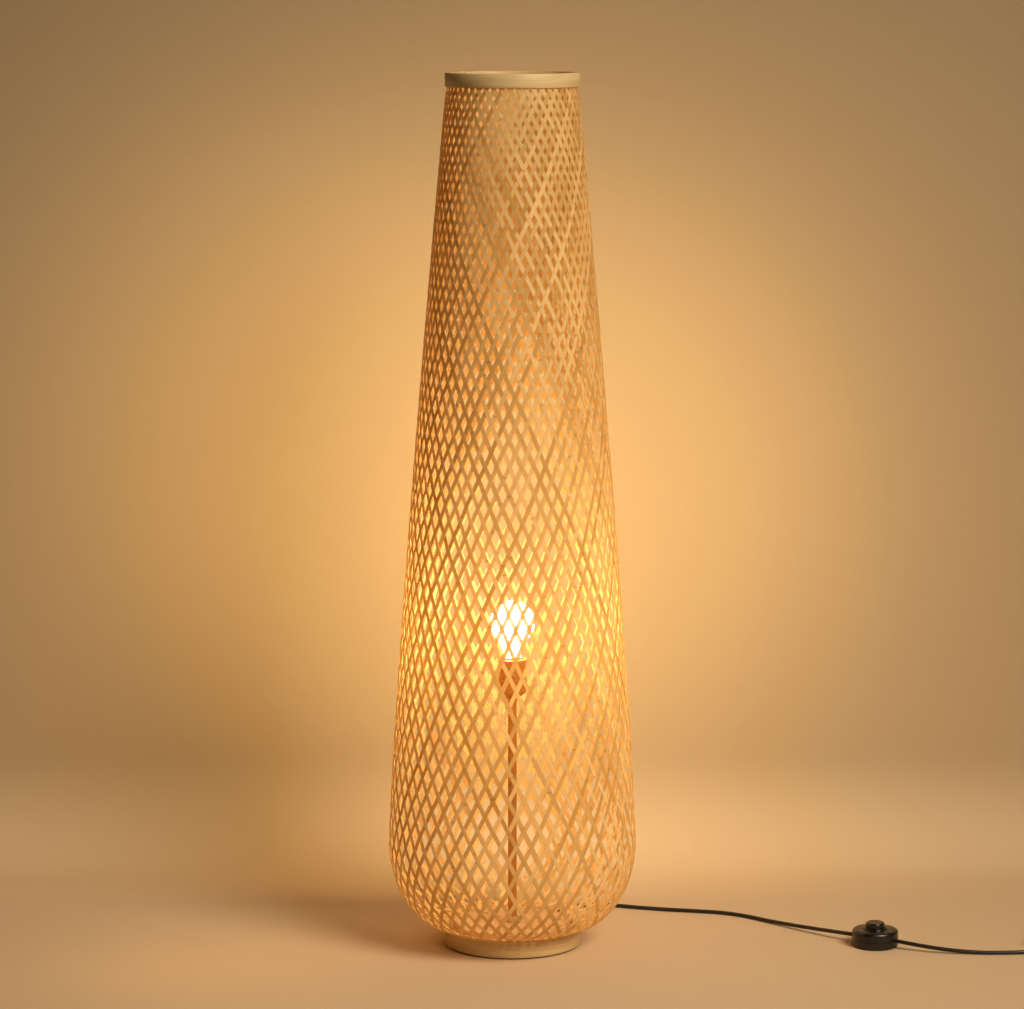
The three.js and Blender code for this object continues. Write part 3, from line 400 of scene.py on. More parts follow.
class Wiring:
    """Adds and joins the nodes of one material or node group."""

    def __init__(self, tree: bpy.types.NodeTree) -> None:
        """Starts on an empty tree.

        Args:
            tree: The node tree.
        """
        self.tree = tree

    def feed(self, socket: Socket, value: object) -> None:
        """Joins a socket to another one, or gives it a plain value.

        Args:
            socket: The input.
            value: An output socket, or a number, colour or vector.
        """
        if isinstance(value, bpy.types.NodeSocket):
            self.tree.links.new(value, socket)
        else:
            socket.default_value = value

    def feed_all(self, node: Node, values: dict) -> None:
        """Feeds several inputs of a node.

        Args:
            node: The node.
            values: Values or sockets for its inputs, by name or by number.
        """
        for key, value in values.items():
            self.feed(node.inputs[key], value)

    def add(self, kind: str, inputs: dict | None = None, **settings: object) -> Node:
        """Adds a node.

        Args:
            kind: The node's type.
            inputs: Values or sockets for its inputs, by name or by number.
            **settings: Its other settings.

        Returns:
            The node.
        """
        node = self.tree.nodes.new(kind)
        for key, value in settings.items():
            setattr(node, key, value)
        self.feed_all(node, inputs or {})
        return node

    def reckon(self, operation: str, *values: object, clamp: bool = False) -> Socket:
        """Adds a Math node.

        Args:
            operation: ADD, MULTIPLY and so on.
            *values: Its inputs.
            clamp: Whether the result is kept between 0 and 1.

        Returns:
            Its result.
        """
        node = self.add("ShaderNodeMath", dict(enumerate(values)), operation=operation)
        node.use_clamp = clamp
        return node.outputs[0]

    def span(self, value: Socket, low: float, high: float, to: tuple[float, float]) -> Socket:
        """Maps a range smoothly onto another, clamped.

        Args:
            value: What is mapped.
            low: Start of its range.
            high: End of its range.
            to: The start and end of the new range.

        Returns:
            The mapped value.
        """
        inputs = {0: value, 1: low, 2: high, 3: to[0], 4: to[1]}
        node = self.add("ShaderNodeMapRange", inputs, interpolation_type="SMOOTHSTEP")
        return node.outputs[0]

    def blend(self, share: object, first: object, second: object, how: str = "MIX") -> Socket:
        """Mixes two colours.

        Args:
            share: How much of the second, from 0 to 1.
            first: A colour or its socket.
            second: A colour or its socket.
            how: The kind of mix.

        Returns:
            The mixed colour.
        """
        inputs = {0: share, 6: first, 7: second}
        return self.add("ShaderNodeMix", inputs, data_type="RGBA", blend_type=how).outputs[2]

    def layer(self, share: object, under: Socket, over: Socket) -> Socket:
        """Mixes two shaders, all of the first at a share of 0."""
        return self.add("ShaderNodeMixShader", {0: share, 1: under, 2: over}).outputs[0]

    def vector(self, x: object, y: object, z: object) -> Socket:
        """Builds a vector from three values."""
        return self.add("ShaderNodeCombineXYZ", {0: x, 1: y, 2: z}).outputs[0]

    def axes(self, vector: Socket) -> Sequence[Socket]:
        """Splits a vector into its X, Y and Z."""
        return self.add("ShaderNodeSeparateXYZ", {0: vector}).outputs

    def stretched(self, along: Socket, across: Socket, scales: Spot, seed: Socket) -> Socket:
        """Builds coordinates for a pattern that runs one way.

        Args:
            along: The place along the grain.
            across: The place across it.
            scales: The scale along and across.
            seed: The third coordinate.

        Returns:
            The coordinates.
        """
        lengthwise = self.reckon("MULTIPLY", along, scales[0])
        return self.vector(lengthwise, self.reckon("MULTIPLY", across, scales[1]), seed)

    def noise(self, where: Socket, scale: float, detail: float = 2.0) -> Socket:
        """Adds a cloud of noise.

        Args:
            where: Its coordinates.
            scale: Its scale.
            detail: Its finer octaves.

        Returns:
            A value round 0.5.
        """
        inputs = {"Vector": where, "Scale": scale, "Detail": detail}
        return self.add("ShaderNodeTexNoise", inputs).outputs[0]


class NodeGroups:
    """Effects that several finishes share, each built once."""

    @staticmethod
    def start(name: str, inputs: dict[str, str], outputs: dict[str, str]) -> tuple:
        """Makes an empty group with named sockets.

        Args:
            name: The group's name.
            inputs: Each input's kind of socket, by name.
            outputs: Each output's kind of socket, by name.

        Returns:
            The group, its wiring, its input node and its output node.
        """
        group = bpy.data.node_groups.new(name, "ShaderNodeTree")
        for title, kind in inputs.items():
            group.interface.new_socket(name=title, in_out="INPUT", socket_type=kind)
        for title, kind in outputs.items():
            group.interface.new_socket(name=title, in_out="OUTPUT", socket_type=kind)
        wiring = Wiring(group)
        return group, wiring, wiring.add("NodeGroupInput"), wiring.add("NodeGroupOutput")

    @classmethod
    def fibres(cls) -> bpy.types.NodeTree:
        """Lengthwise bamboo fibres, with the dark rings of its joints.

        Returns:
            The group: from places along and across a lath to colour, roughness and height.
        """
        name = "Bamboo fibres"
        if name in bpy.data.node_groups:
            return bpy.data.node_groups[name]
        number, colour = "NodeSocketFloat", "NodeSocketColor"
        inputs = {"Along": number, "Across": number, "Tone": number, "Fineness": number}
        inputs |= {"Pale": colour, "Deep": colour, "Ring spacing": number}
        outputs = {"Color": colour, "Roughness": number, "Height": number}
        group, wiring, given, wanted = cls.start(name, inputs, outputs)
        along, across, tone, fine = (given.outputs[key] for key in list(inputs)[:4])
        seed = wiring.reckon("MULTIPLY", tone, 53.0)
        streak = wiring.noise(wiring.stretched(along, across, (22.0, fine), seed), 1.0, 3.0)
        patch = wiring.noise(wiring.stretched(along, across, (7.0, 90.0), seed), 1.0, 1.0)
        turns = wiring.reckon("DIVIDE", along, given.outputs["Ring spacing"])
        shifted = wiring.reckon("ADD", turns, wiring.reckon("MULTIPLY", tone, 7.3))
        share = wiring.reckon("FRACT", shifted)
        from_ring = wiring.reckon("ABSOLUTE", wiring.reckon("SUBTRACT", share, 0.5))
        metres = wiring.reckon("MULTIPLY", from_ring, given.outputs["Ring spacing"])
        ring = wiring.span(metres, 0.0006, 0.0022, (1.0, 0.0))
        lift = wiring.reckon("MULTIPLY", wiring.reckon("SUBTRACT", tone, 0.5), 0.75)
        mixed = wiring.reckon("ADD", wiring.reckon("MULTIPLY", streak, 0.9), lift)
        mixed = wiring.reckon("ADD", mixed, wiring.reckon("MULTIPLY", patch, 0.7))
        mixed = wiring.reckon("SUBTRACT", mixed, 0.3, clamp=True)
        wood = wiring.blend(mixed, given.outputs["Deep"], given.outputs["Pale"])
        dark = wiring.reckon("MULTIPLY", ring, 0.4)
        results = {
            "Color": wiring.blend(dark, wood, (0.30, 0.19, 0.10, 1.0), "MULTIPLY"),
            "Roughness": wiring.span(streak, 0.25, 0.75, (0.36, 0.62)),
            "Height": wiring.reckon("ADD", wiring.reckon("MULTIPLY", streak, 0.4), ring),
        }
        wiring.feed_all(wanted, results)
        return group

    @classmethod
    def lamplight(cls) -> bpy.types.NodeTree:
        """Masks for the painted glow that stands in for the bulb's light in the weave: faces towards
        it, more the nearer it is.

        Returns:
            The group: from a place, a normal and the bulb's height to three masks.
        """
        name = "Lamplight"
        if name in bpy.data.node_groups:
            return bpy.data.node_groups[name]
        number, vector = "NodeSocketFloat", "NodeSocketVector"
        inputs = {"Vector": vector, "Normal": vector, "Bulb height": number}
        outputs = {"Inward": number, "Near": number, "Beside": number}
        group, wiring, given, wanted = cls.start(name, inputs, outputs)
        axes = wiring.axes(given.outputs["Vector"])
        kind = "ShaderNodeVectorMath"
        level = wiring.vector(axes[0], axes[1], 0.0)
        outwards = wiring.add(kind, {0: level}, operation="NORMALIZE").outputs[0]
        both = {0: outwards, 1: given.outputs["Normal"]}
        facing = wiring.add(kind, both, operation="DOT_PRODUCT").outputs["Value"]
        wiring.feed(wanted.inputs["Inward"], wiring.span(facing, -0.35, 0.35, (1.0, 0.0)))
        rise = wiring.reckon("SUBTRACT", axes[2], given.outputs["Bulb height"])
        for title, reach in (("Near", 0.24), ("Beside", 0.11)):
            share = wiring.reckon("DIVIDE", rise, reach)
            spread = wiring.reckon("ADD", wiring.reckon("MULTIPLY", share, share), 1.0)
            wiring.feed(wanted.inputs[title], wiring.reckon("DIVIDE", 1.0, spread))
        return group

    @classmethod
    def wear(cls) -> bpy.types.NodeTree:
        """Fine dust and rubbed spots of a handled surface.

        Returns:
            The group: from a place to a dust mask, a roughness and a height.
        """
        name = "Fine wear"
        if name in bpy.data.node_groups:
            return bpy.data.node_groups[name]
        number = "NodeSocketFloat"
        inputs = {"Vector": "NodeSocketVector", "Grain": number, "Low": number, "High": number}
        outputs = {"Dust": number, "Roughness": number, "Height": number}
        group, wiring, given, wanted = cls.start(name, inputs, outputs)
        where, grain, low, high = (given.outputs[key] for key in inputs)
        cloud = wiring.noise(where, 70.0, 4.0)
        speck = wiring.noise(where, grain)
        mixed = wiring.reckon("MULTIPLY", wiring.reckon("ADD", cloud, speck), 0.5)
        spread = wiring.reckon("SUBTRACT", high, low)
        share = wiring.reckon("MULTIPLY", wiring.span(cloud, 0.35, 0.65, (0.0, 1.0)), spread)
        results = {
            "Dust": wiring.span(mixed, 0.52, 0.72, (0.0, 1.0)),
            "Roughness": wiring.reckon("ADD", low, share),
            "Height": speck,
        }
        wiring.feed_all(wanted, results)
        return group


@dataclass(frozen=True)
class Finish:
    """A surface finish. Each kind fills in its own nodes."""

    name: str

    def start(self) -> tuple[Look, Wiring, Node, Node]:
        """Makes an empty material with its main shader.

        Returns:
            The material, its wiring, the Principled shader and the output.
        """
        look = bpy.data.materials.new(self.name)
        look.use_nodes = True
        look.node_tree.nodes.clear()
        wiring = Wiring(look.node_tree)
        shader = wiring.add("ShaderNodeBsdfPrincipled")
        output = wiring.add("ShaderNodeOutputMaterial", {"Surface": shader.outputs[0]})
        return look, wiring, shader, output

    def place(self, wiring: Wiring) -> Socket:
        """Gives the object's own coordinates, in metres."""
        return wiring.add("ShaderNodeTexCoord").outputs["Object"]

    def bump(self, wiring: Wiring, shader: Node, height: Socket, depth: float) -> None:
        """Raises the surface by a height.

        Args:
            wiring: The material's wiring.
            shader: The Principled shader.
            height: The height, from 0 to 1.
            depth: What a height of 1 is worth, in metres.
        """
        node = wiring.add("ShaderNodeBump", {"Height": height, "Distance": depth})
        wiring.feed(shader.inputs["Normal"], node.outputs[0])


@dataclass(frozen=True)
class Bamboo(Finish):
    """Split bamboo, its fibres along each lath. It may carry a painted glow that stands in for the
    bulb's light, and it has painted shade towards each lath's long edges.
    """

    pale: Colour
    deep: Colour
    fineness: float
    ring_spacing: float
    relief: float
    half_width: float
    edge_from: float = 0.8
    # Painted shade: how much each lath darkens towards the deep tone at its long edges, standing in
    # for the shade on its eased edges.
    edge_shade: float = 0.3
    sheerness: float = 0.0
    sheer_colour: Colour = (1.0, 0.55, 0.18, 1.0)
    openness: float = 0.11
    # Painted glow: emission that stands in for the bulb's light in the wood, which is no lamp. The
    # four colours below are its colours on inner and outer faces, near the bulb and far from it.
    glow: float = 0.0
    wood_in_painted_glow: float = 0.35
    inner_near: Colour = (0.60, 0.37, 0.10, 1.0)
    inner_far: Colour = (0.12, 0.047, 0.003, 1.0)
    outer_near: Colour = (0.28, 0.13, 0.006, 1.0)
    outer_far: Colour = (0.045, 0.013, 0.0, 1.0)
    bulb_height: float = 0.45

    def paint_bulb_glow(self, wiring: Wiring, shader: Node, wood: Socket) -> None:
        """Paints the bulb's light into the wood as a glow: emission that stands in for light, though
        the wood is no lamp.

        Args:
            wiring: The material's wiring.
            shader: The Principled shader.
            wood: The wood's own colour.
        """
        inputs = {"Vector": self.place(wiring), "Bulb height": self.bulb_height}
        inputs["Normal"] = wiring.add("ShaderNodeNewGeometry").outputs["Normal"]
        masks = wiring.add("ShaderNodeGroup", inputs, node_tree=NodeGroups.lamplight()).outputs
        # Painted glow: inner faces take the inner colours and outer faces the outer ones, brighter
        # nearer the bulb's height.
        inner = wiring.blend(masks["Near"], self.inner_far, self.inner_near)
        outer = wiring.blend(masks["Beside"], self.outer_far, self.outer_near)
        light = wiring.blend(masks["Inward"], outer, inner)
        painted_glow_colour = wiring.blend(self.wood_in_painted_glow, light, wood, "MULTIPLY")
        wiring.feed_all(shader, {"Emission Color": painted_glow_colour, "Emission Strength": self.glow})

    def let_through(self, wiring: Wiring, surface: Socket, output: Node) -> None:
        """Lets light through the thin wood, and a little of what lies behind it.

        Args:
            wiring: The material's wiring.
            surface: The solid wood's shader.
            output: The material's output.
        """
        sheer = wiring.add("ShaderNodeBsdfTranslucent", {"Color": self.sheer_colour})
        surface = wiring.layer(self.sheerness, surface, sheer.outputs[0])
        seen = wiring.add("ShaderNodeLightPath").outputs["Is Camera Ray"]
        clear = wiring.add("ShaderNodeBsdfTransparent").outputs[0]
        pores = wiring.reckon("MULTIPLY", seen, self.openness)
        wiring.feed(output.inputs["Surface"], wiring.layer(pores, surface, clear))

    def build(self) -> Look:
        """Builds the material.

        Returns:
            The material, which reads the laths' own map and tone.
        """
        look, wiring, shader, output = self.start()
        along, across, _ = wiring.axes(wiring.add("ShaderNodeUVMap", uv_map=UV_NAME).outputs[0])
        tone = wiring.add("ShaderNodeAttribute", attribute_name=TONE_NAME).outputs["Fac"]
        inputs = {"Along": along, "Across": across, "Tone": tone, "Fineness": self.fineness}
        inputs |= {"Pale": self.pale, "Deep": self.deep, "Ring spacing": self.ring_spacing}
        wood = wiring.add("ShaderNodeGroup", inputs, node_tree=NodeGroups.fibres()).outputs
        aside, half = wiring.reckon("ABSOLUTE", across), self.half_width
        # Painted shade: darker towards each lath's long edges.
        edge = wiring.span(aside, half * self.edge_from, half, (0.0, self.edge_shade))
        colour = wiring.blend(edge, wood["Color"], self.deep)
        wiring.feed_all(shader, {"Base Color": colour, "Roughness": wood["Roughness"]})
        self.bump(wiring, shader, wood["Height"], self.relief)
        if self.glow:
            self.paint_bulb_glow(wiring, shader, wood["Color"])
        if self.sheerness:
            self.let_through(wiring, shader.outputs[0], output)
        return look


@dataclass(frozen=True)
class Plywood(Finish):
    """Birch plywood: a rotary-cut face, and layers on its edge."""

    pale: Colour = (0.52, 0.36, 0.20, 1.0)
    deep: Colour = (0.34, 0.20, 0.09, 1.0)
    layer: float = 0.0015
    grain_scales: Spot = (9.0, 160.0)
    relief: float = 0.0002

    def build(self) -> Look:
        """Builds the material.

        Returns:
            The material.
        """
        look, wiring, shader, _ = self.start()
        x, y, z = wiring.axes(self.place(wiring))
        grain = wiring.noise(wiring.stretched(x, y, self.grain_scales, z), 1.0, 4.0)
        layers = wiring.reckon("FRACT", wiring.reckon("DIVIDE", z, 2 * self.layer))
        stripe = wiring.span(layers, 0.45, 0.55, (0.0, 1.0))
        upright = wiring.axes(wiring.add("ShaderNodeNewGeometry").outputs["Normal"])[2]
        flat = wiring.span(wiring.reckon("ABSOLUTE", upright), 0.3, 0.7, (0.0, 1.0))
        mixed = wiring.add("ShaderNodeMix", {0: flat, 2: stripe, 3: grain}).outputs[0]
        values = {"Base Color": wiring.blend(mixed, self.deep, self.pale)}
        values["Roughness"] = wiring.span(grain, 0.3, 0.7, (0.55, 0.75))
        wiring.feed_all(shader, values)
        self.bump(wiring, shader, grain, self.relief)
        return look


@dataclass(frozen=True)
class Cloth(Finish):
    """Pressed felt or woven webbing, by how fine its fibres are."""

    colour: Colour
    fleck: Colour
    grain: float
    ribs: float = 0.0
    relief: float = 0.00025

    def build(self) -> Look:
        """Builds the material.

        Returns:
            The material.
        """
        look, wiring, shader, _ = self.start()
        where = self.place(wiring)
        fibres = height = wiring.noise(where, self.grain, 3.0)
        flecks = wiring.span(fibres, 0.4, 0.7, (0.0, 1.0))
        values = {"Base Color": wiring.blend(flecks, self.colour, self.fleck)}
        values["Roughness"] = wiring.span(fibres, 0.3, 0.7, (0.8, 0.97))
        wiring.feed_all(shader, values | {"Sheen Weight": 0.35, "Sheen Roughness": 0.5})
        if self.ribs:
            inputs = {"Vector": where, "Scale": self.ribs, "Distortion": 0.4}
            rows = wiring.add("ShaderNodeTexWave", inputs, bands_direction="DIAGONAL").outputs[1]
            height = wiring.reckon("ADD", rows, wiring.reckon("MULTIPLY", fibres, 0.5))
        self.bump(wiring, shader, height, self.relief)
        return look


@dataclass(frozen=True)
class Metal(Finish):
    """Turned or drawn metal with fine marks."""

    colour: Colour
    worn: Colour
    low: float
    high: float
    metallic: float = 1.0
    grain: float = 900.0
    relief: float = 0.00004

    def build(self) -> Look:
        """Builds the material.

        Returns:
            The material.
        """
        look, wiring, shader, _ = self.start()
        inputs = {"Vector": self.place(wiring), "Grain": self.grain}
        inputs |= {"Low": self.low, "High": self.high}
        wear = wiring.add("ShaderNodeGroup", inputs, node_tree=NodeGroups.wear()).outputs
        values = {"Base Color": wiring.blend(wear["Dust"], self.colour, self.worn)}
        values |= {"Roughness": wear["Roughness"], "Metallic": self.metallic}
        wiring.feed_all(shader, values)
        self.bump(wiring, shader, wear["Height"], self.relief)
        return look


@dataclass(frozen=True)
class Plastic(Finish):
    """Moulded plastic or cast glaze, with a faint grain and a little dust."""

    colour: Colour
    dust: Colour
    low: float
    high: float
    coat: float = 0.0
    grain: float = 1400.0
    relief: float = 0.00003
    dustiness: float = 0.35

    def build(self) -> Look:
        """Builds the material.

        Returns:
            The material.
        """
        look, wiring, shader, _ = self.start()
        inputs = {"Vector": self.place(wiring), "Grain": self.grain}
        inputs |= {"Low": self.low, "High": self.high}
        wear = wiring.add("ShaderNodeGroup", inputs, node_tree=NodeGroups.wear()).outputs
        share = wiring.reckon("MULTIPLY", wear["Dust"], self.dustiness)
        values = {"Base Color": wiring.blend(share, self.colour, self.dust)}
        values |= {"Roughness": wear["Roughness"]}
        wiring.feed_all(shader, values | {"Coat Weight": self.coat, "Coat Roughness": 0.15})
        self.bump(wiring, shader, wear["Height"], self.relief)
        return look


@dataclass(frozen=True)
class GlowingGlass(Finish):
    """Opal glass lit from inside, brightest round its middle."""

    middle: float
    reach: float
    strength: float
    bright: Colour = (1.0, 0.76, 0.48, 1.0)
    warm: Colour = (1.0, 0.52, 0.20, 1.0)
    glass: Colour = (0.90, 0.87, 0.80, 1.0)

    def build(self) -> Look:
        """Builds the material.

        Returns:
            The material.
        """
        look, wiring, shader, _ = self.start()
        where = self.place(wiring)
        from_middle = wiring.reckon("SUBTRACT", wiring.axes(where)[2], self.middle)
        away = wiring.reckon("ABSOLUTE", from_middle)
        fade = wiring.span(away, self.reach * 0.4, self.reach * 1.4, (0.0, 1.0))
        frost = wiring.noise(where, 500.0)
        values = {"Roughness": wiring.span(frost, 0.3, 0.7, (0.25, 0.4))}
        values["Emission Color"] = wiring.blend(fade, self.bright, self.warm)
        values |= {"Base Color": self.glass, "Emission Strength": self.strength}
        wiring.feed_all(shader, values)
        return look


@dataclass(frozen=True)
class ClearGlass(Finish):
    """Clear glass with faint drawn streaks."""

    pale: Colour = (0.93, 0.94, 0.92, 1.0)
    deep: Colour = (0.86, 0.88, 0.86, 1.0)

    def build(self) -> Look:
        """Builds the material.

        Returns:
            The material.
        """
        look, wiring, shader, _ = self.start()
        streaks = wiring.noise(self.place(wiring), 220.0)
        values = {"Roughness": wiring.span(streaks, 0.3, 0.7, (0.04, 0.12))}
        values["Base Color"] = wiring.blend(streaks, self.deep, self.pale)
        wiring.feed_all(shader, values | {"Transmission Weight": 1.0, "IOR": 1.5})
        return look


@dataclass(frozen=True)
class Paper(Finish):
    """The plain pale paper of the studio, clear from behind so that no view is blocked. Its floor is
    painted lighter than its wall, as painted light for the light that falls on the floor.
    """

    bend: float
    # Painted light: the floor is lighter than the wall, standing in for the light that falls on the
    # floor.
    floor: Colour = (0.64, 0.475, 0.31, 1.0)
    wall: Colour = (0.48, 0.355, 0.225, 1.0)

    def build(self) -> Look:
        """Builds the material.

        Returns:
            The material.
        """
        look, wiring, shader, output = self.start()
        height = wiring.axes(self.place(wiring))[2]
        upright = wiring.span(height, 0.0, self.bend, (0.0, 1.0))
        # Painted light: the lighter floor colour low down, the darker wall colour up the bend.
        colour = wiring.blend(upright, self.floor, self.wall)
        wiring.feed_all(shader, {"Base Color": colour, "Roughness": 0.8})
        behind = wiring.add("ShaderNodeNewGeometry").outputs["Backfacing"]
        clear = wiring.add("ShaderNodeBsdfTransparent").outputs[0]
        wiring.feed(output.inputs["Surface"], wiring.layer(behind, shader.outputs[0], clear))
        return look


class Palette:
    """Every finish of the lamp, built once."""

    def __init__(self, globe_middle: float, globe_radius: float) -> None:
        """Builds the materials.

        Args:
            globe_middle: Height of the bulb's middle.
            globe_radius: Radius of the bulb.
        """
        self.strip = Bamboo(
            "bamboo_strip",
            pale=(0.93, 0.74, 0.36, 1.0),
            deep=(0.55, 0.33, 0.09, 1.0),
            fineness=2600.0,
            ring_spacing=0.31,
            relief=0.00012,
            half_width=0.0029,
            sheerness=0.17,
            # Painted glow of the bulb's light in the strips: emission, though the strips are no
            # lamp.
            glow=1.0,
        ).build()
        self.band = Bamboo(
            "bamboo_band",
            pale=(0.90, 0.69, 0.38, 1.0),
            deep=(0.50, 0.33, 0.13, 1.0),
            fineness=650.0,
            ring_spacing=0.50,
            relief=0.0001,
            half_width=0.02,
        ).build()
        self.plywood = Plywood("plywood").build()
        self.felt = Cloth(
            "felt", (0.030, 0.024, 0.019, 1.0), (0.075, 0.06, 0.045, 1.0), grain=1800.0
        ).build()
        self.webbing = Cloth(
            "webbing", (0.018, 0.016, 0.015, 1.0), (0.05, 0.045, 0.04, 1.0),
            grain=2600.0, ribs=700.0
        ).build()
        self.sand_steel = Metal(
            "sand_steel", (0.72, 0.50, 0.27, 1.0), (0.55, 0.37, 0.19, 1.0),
            low=0.45, high=0.62, metallic=0.0
        ).build()
        self.bright_steel = Metal(
            "bright_steel", (0.60, 0.60, 0.58, 1.0), (0.40, 0.38, 0.34, 1.0), low=0.20, high=0.38
        ).build()
        self.bronze = Metal(
            "bronze", (0.56, 0.29, 0.085, 1.0), (0.36, 0.18, 0.055, 1.0),
            low=0.34, high=0.50, metallic=0.6
        ).build()
        self.brass = Metal(
            "brass", (0.62, 0.44, 0.18, 1.0), (0.38, 0.25, 0.10, 1.0), low=0.22, high=0.42
        ).build()
        self.plastic = Plastic(
            "black_plastic", (0.006, 0.005, 0.004, 1.0), (0.03, 0.024, 0.018, 1.0),
            low=0.24, high=0.36, coat=0.1
        ).build()
        self.flex = Plastic(
            "black_flex", (0.008, 0.006, 0.005, 1.0), (0.035, 0.028, 0.022, 1.0),
            low=0.36, high=0.5, coat=0.05
        ).build()
        self.porcelain = Plastic(
            "porcelain", (0.74, 0.71, 0.64, 1.0), (0.50, 0.44, 0.34, 1.0),
            low=0.12, high=0.28, coat=0.5, grain=600.0
        ).build()
        self.opal = GlowingGlass("opal_glass", globe_middle, globe_radius, strength=36.0).build()
        self.opal_inside = Plastic(
            "opal_glass_inside", (0.80, 0.76, 0.68, 1.0), (0.7, 0.66, 0.58, 1.0),
            low=0.3, high=0.45
        ).build()
        self.clear_glass = ClearGlass("clear_glass").build()


@dataclass(frozen=True)
class SoftLight:
    """One soft light of the studio, unseen by the camera."""

    name: str
    at: Point
    towards: Point
    size: Spot
    watts: float
    colour: Point
    spread: float = 180.0

    def hang(self) -> None:
        """Hangs the light and points it."""
        bpy.ops.object.light_add(type="AREA", location=self.at)
        light = bpy.context.object
        light.name = self.name
        backwards = Vector(self.at) - Vector(self.towards)
        light.rotation_euler = backwards.to_track_quat("Z", "Y").to_euler()
        light.data.shape = "ELLIPSE"
        light.data.size, light.data.size_y = self.size
        light.data.energy = self.watts
        light.data.color = self.colour
        light.data.spread = math.radians(self.spread)
        light.visible_camera = False


@dataclass
class Studio:
    """The camera at the photograph's angle, a plain pale sweep and soft lights."""

    focal_length: float = 128.7
    distance: float = 4.95
    height: float = 1.3165
    aside: float = -0.0005
    pitch: float = 8.08
    floor_half: float = 8.0
    wall_height: float = 3.2
    wall_distance: float = 0.52
    bend_radius: float = 0.16
    bend_rows: int = 12
    room_colour: Colour = (1.0, 0.56, 0.16, 1.0)
    room_strength: float = 0.03

    LIGHTS = (
        SoftLight(
            "key", (2.1, -2.6, 2.9), (0.06, -0.40, 0.35), (2.2, 2.2), 28.0, (1.0, 0.86, 0.64), 66.0
        ),
        SoftLight(
            "wall", (-0.06, 0.22, 0.60), (-0.06, 1.0, 0.60), (1.1, 0.9), 3.5, (1.0, 0.72, 0.32)
        ),
        SoftLight(
            "behind", (0.0, 0.26, 0.46), (0.0, 1.0, 0.46), (0.12, 0.5), 0.30, (1.0, 0.68, 0.18)
        ),
        SoftLight(
            "floor", (-0.42, -0.14, 0.22), (-0.42, -0.22, 0.0), (0.34, 0.26), 0.13,
            (1.0, 0.54, 0.13)
        ),
    )

    def camera(self) -> None:
        """Sets the camera up."""
        bpy.ops.object.camera_add(
            location=(self.aside, -self.distance, self.height),
            rotation=(math.radians(90.0 - self.pitch), 0.0, 0.0),
        )
        camera = bpy.context.object
        camera.name = "camera"
        camera.data.lens = self.focal_length
        camera.data.clip_end = 100.0
        bpy.context.scene.camera = camera

    def sweep(self) -> None:
        """Lays a plain floor that curves up into a plain wall close behind the lamp."""
        floor = Workshop.draw([(-self.floor_half, y, z) for y, z in self.line()])
        across = {"value": (2 * self.floor_half, 0.0, 0.0)}
        bpy.ops.mesh.extrude_region_move(TRANSFORM_OT_translate=across)
        Workshop.face_outwards()
        Workshop.settle(floor, "studio_sweep")
        facing = sum((face.normal.z - face.normal.y) * face.area for face in floor.data.polygons)
        if facing < 0:
            floor.data.flip_normals()
        Workshop.smooth(floor, 60.0)
        floor.data.materials.append(Paper("studio_paper", self.bend_radius).build())

    def line(self) -> Profile:
        """Gives the sweep's side view.

        Returns:
            Y and Z of each point.
        """
        bend_start = self.wall_distance - self.bend_radius
        points = [(-self.floor_half, 0.0), (bend_start, 0.0)]
        for i in range(1, self.bend_rows + 1):
            angle = math.radians(90.0 * i / self.bend_rows)
            rise = self.bend_radius * (1 - math.cos(angle))
            points.append((bend_start + self.bend_radius * math.sin(angle), rise))
        return [*points, (self.wall_distance, self.wall_height)]

    def lights(self) -> None:
        """Hangs the key light at the front right and the glow on wall and floor, in a dim room."""
        for light in self.LIGHTS:
            light.hang()
        world = bpy.data.worlds.new("studio_room")
        world.use_nodes = True
        back = world.node_tree.nodes["Background"]
        back.inputs["Color"].default_value = self.room_colour
        back.inputs["Strength"].default_value = self.room_strength
        bpy.context.scene.world = world
        bpy.context.scene.view_settings.view_transform = "Standard"

    def build(self) -> None:
        """Builds the whole studio."""
        self.camera()
        self.sweep()
        self.lights()


class Route:
    """Lines of points that a cord follows."""

    @staticmethod
    def through(points: Sequence[Point], step: float = 0.004) -> list[Vector]:
        """Runs a smooth centripetal curve through points.

        Args:
            points: The points, in order.
            step: About how far apart the curve's own points lie.

        Returns:
            The curve's points.
        """
        given = [Vector(p) for p in points]
        full = [2 * given[0] - given[1], *given, 2 * given[-1] - given[-2]]
        line = [given[0]]
        for a, b, c, d in zip(full, full[1:], full[2:], full[3:]):
            before, here, after = ((q - p).length ** 0.5 for p, q in ((a, b), (b, c), (c, d)))
            leave = ((b - a) / before - (c - a) / (before + here) + (c - b) / here) * here
            arrive = ((c - b) / here - (d - b) / (here + after) + (d - c) / after) * here
            count = max(2, round((c - b).length / step))
            for k in range(1, count + 1):
                t = k / count
                swing = leave * (t**3 - 2 * t**2 + t) + arrive * (t**3 - t**2)
                line.append(b * (2 * t**3 - 3 * t**2 + 1) + c * (3 * t**2 - 2 * t**3) + swing)
        return line

    @staticmethod
    def length(line: Sequence[Vector]) -> float:
        """Measures a line.

        Args:
            line: Its points.

        Returns:
            Its length in metres.
        """
        return sum((b - a).length for a, b in zip(line, line[1:]))


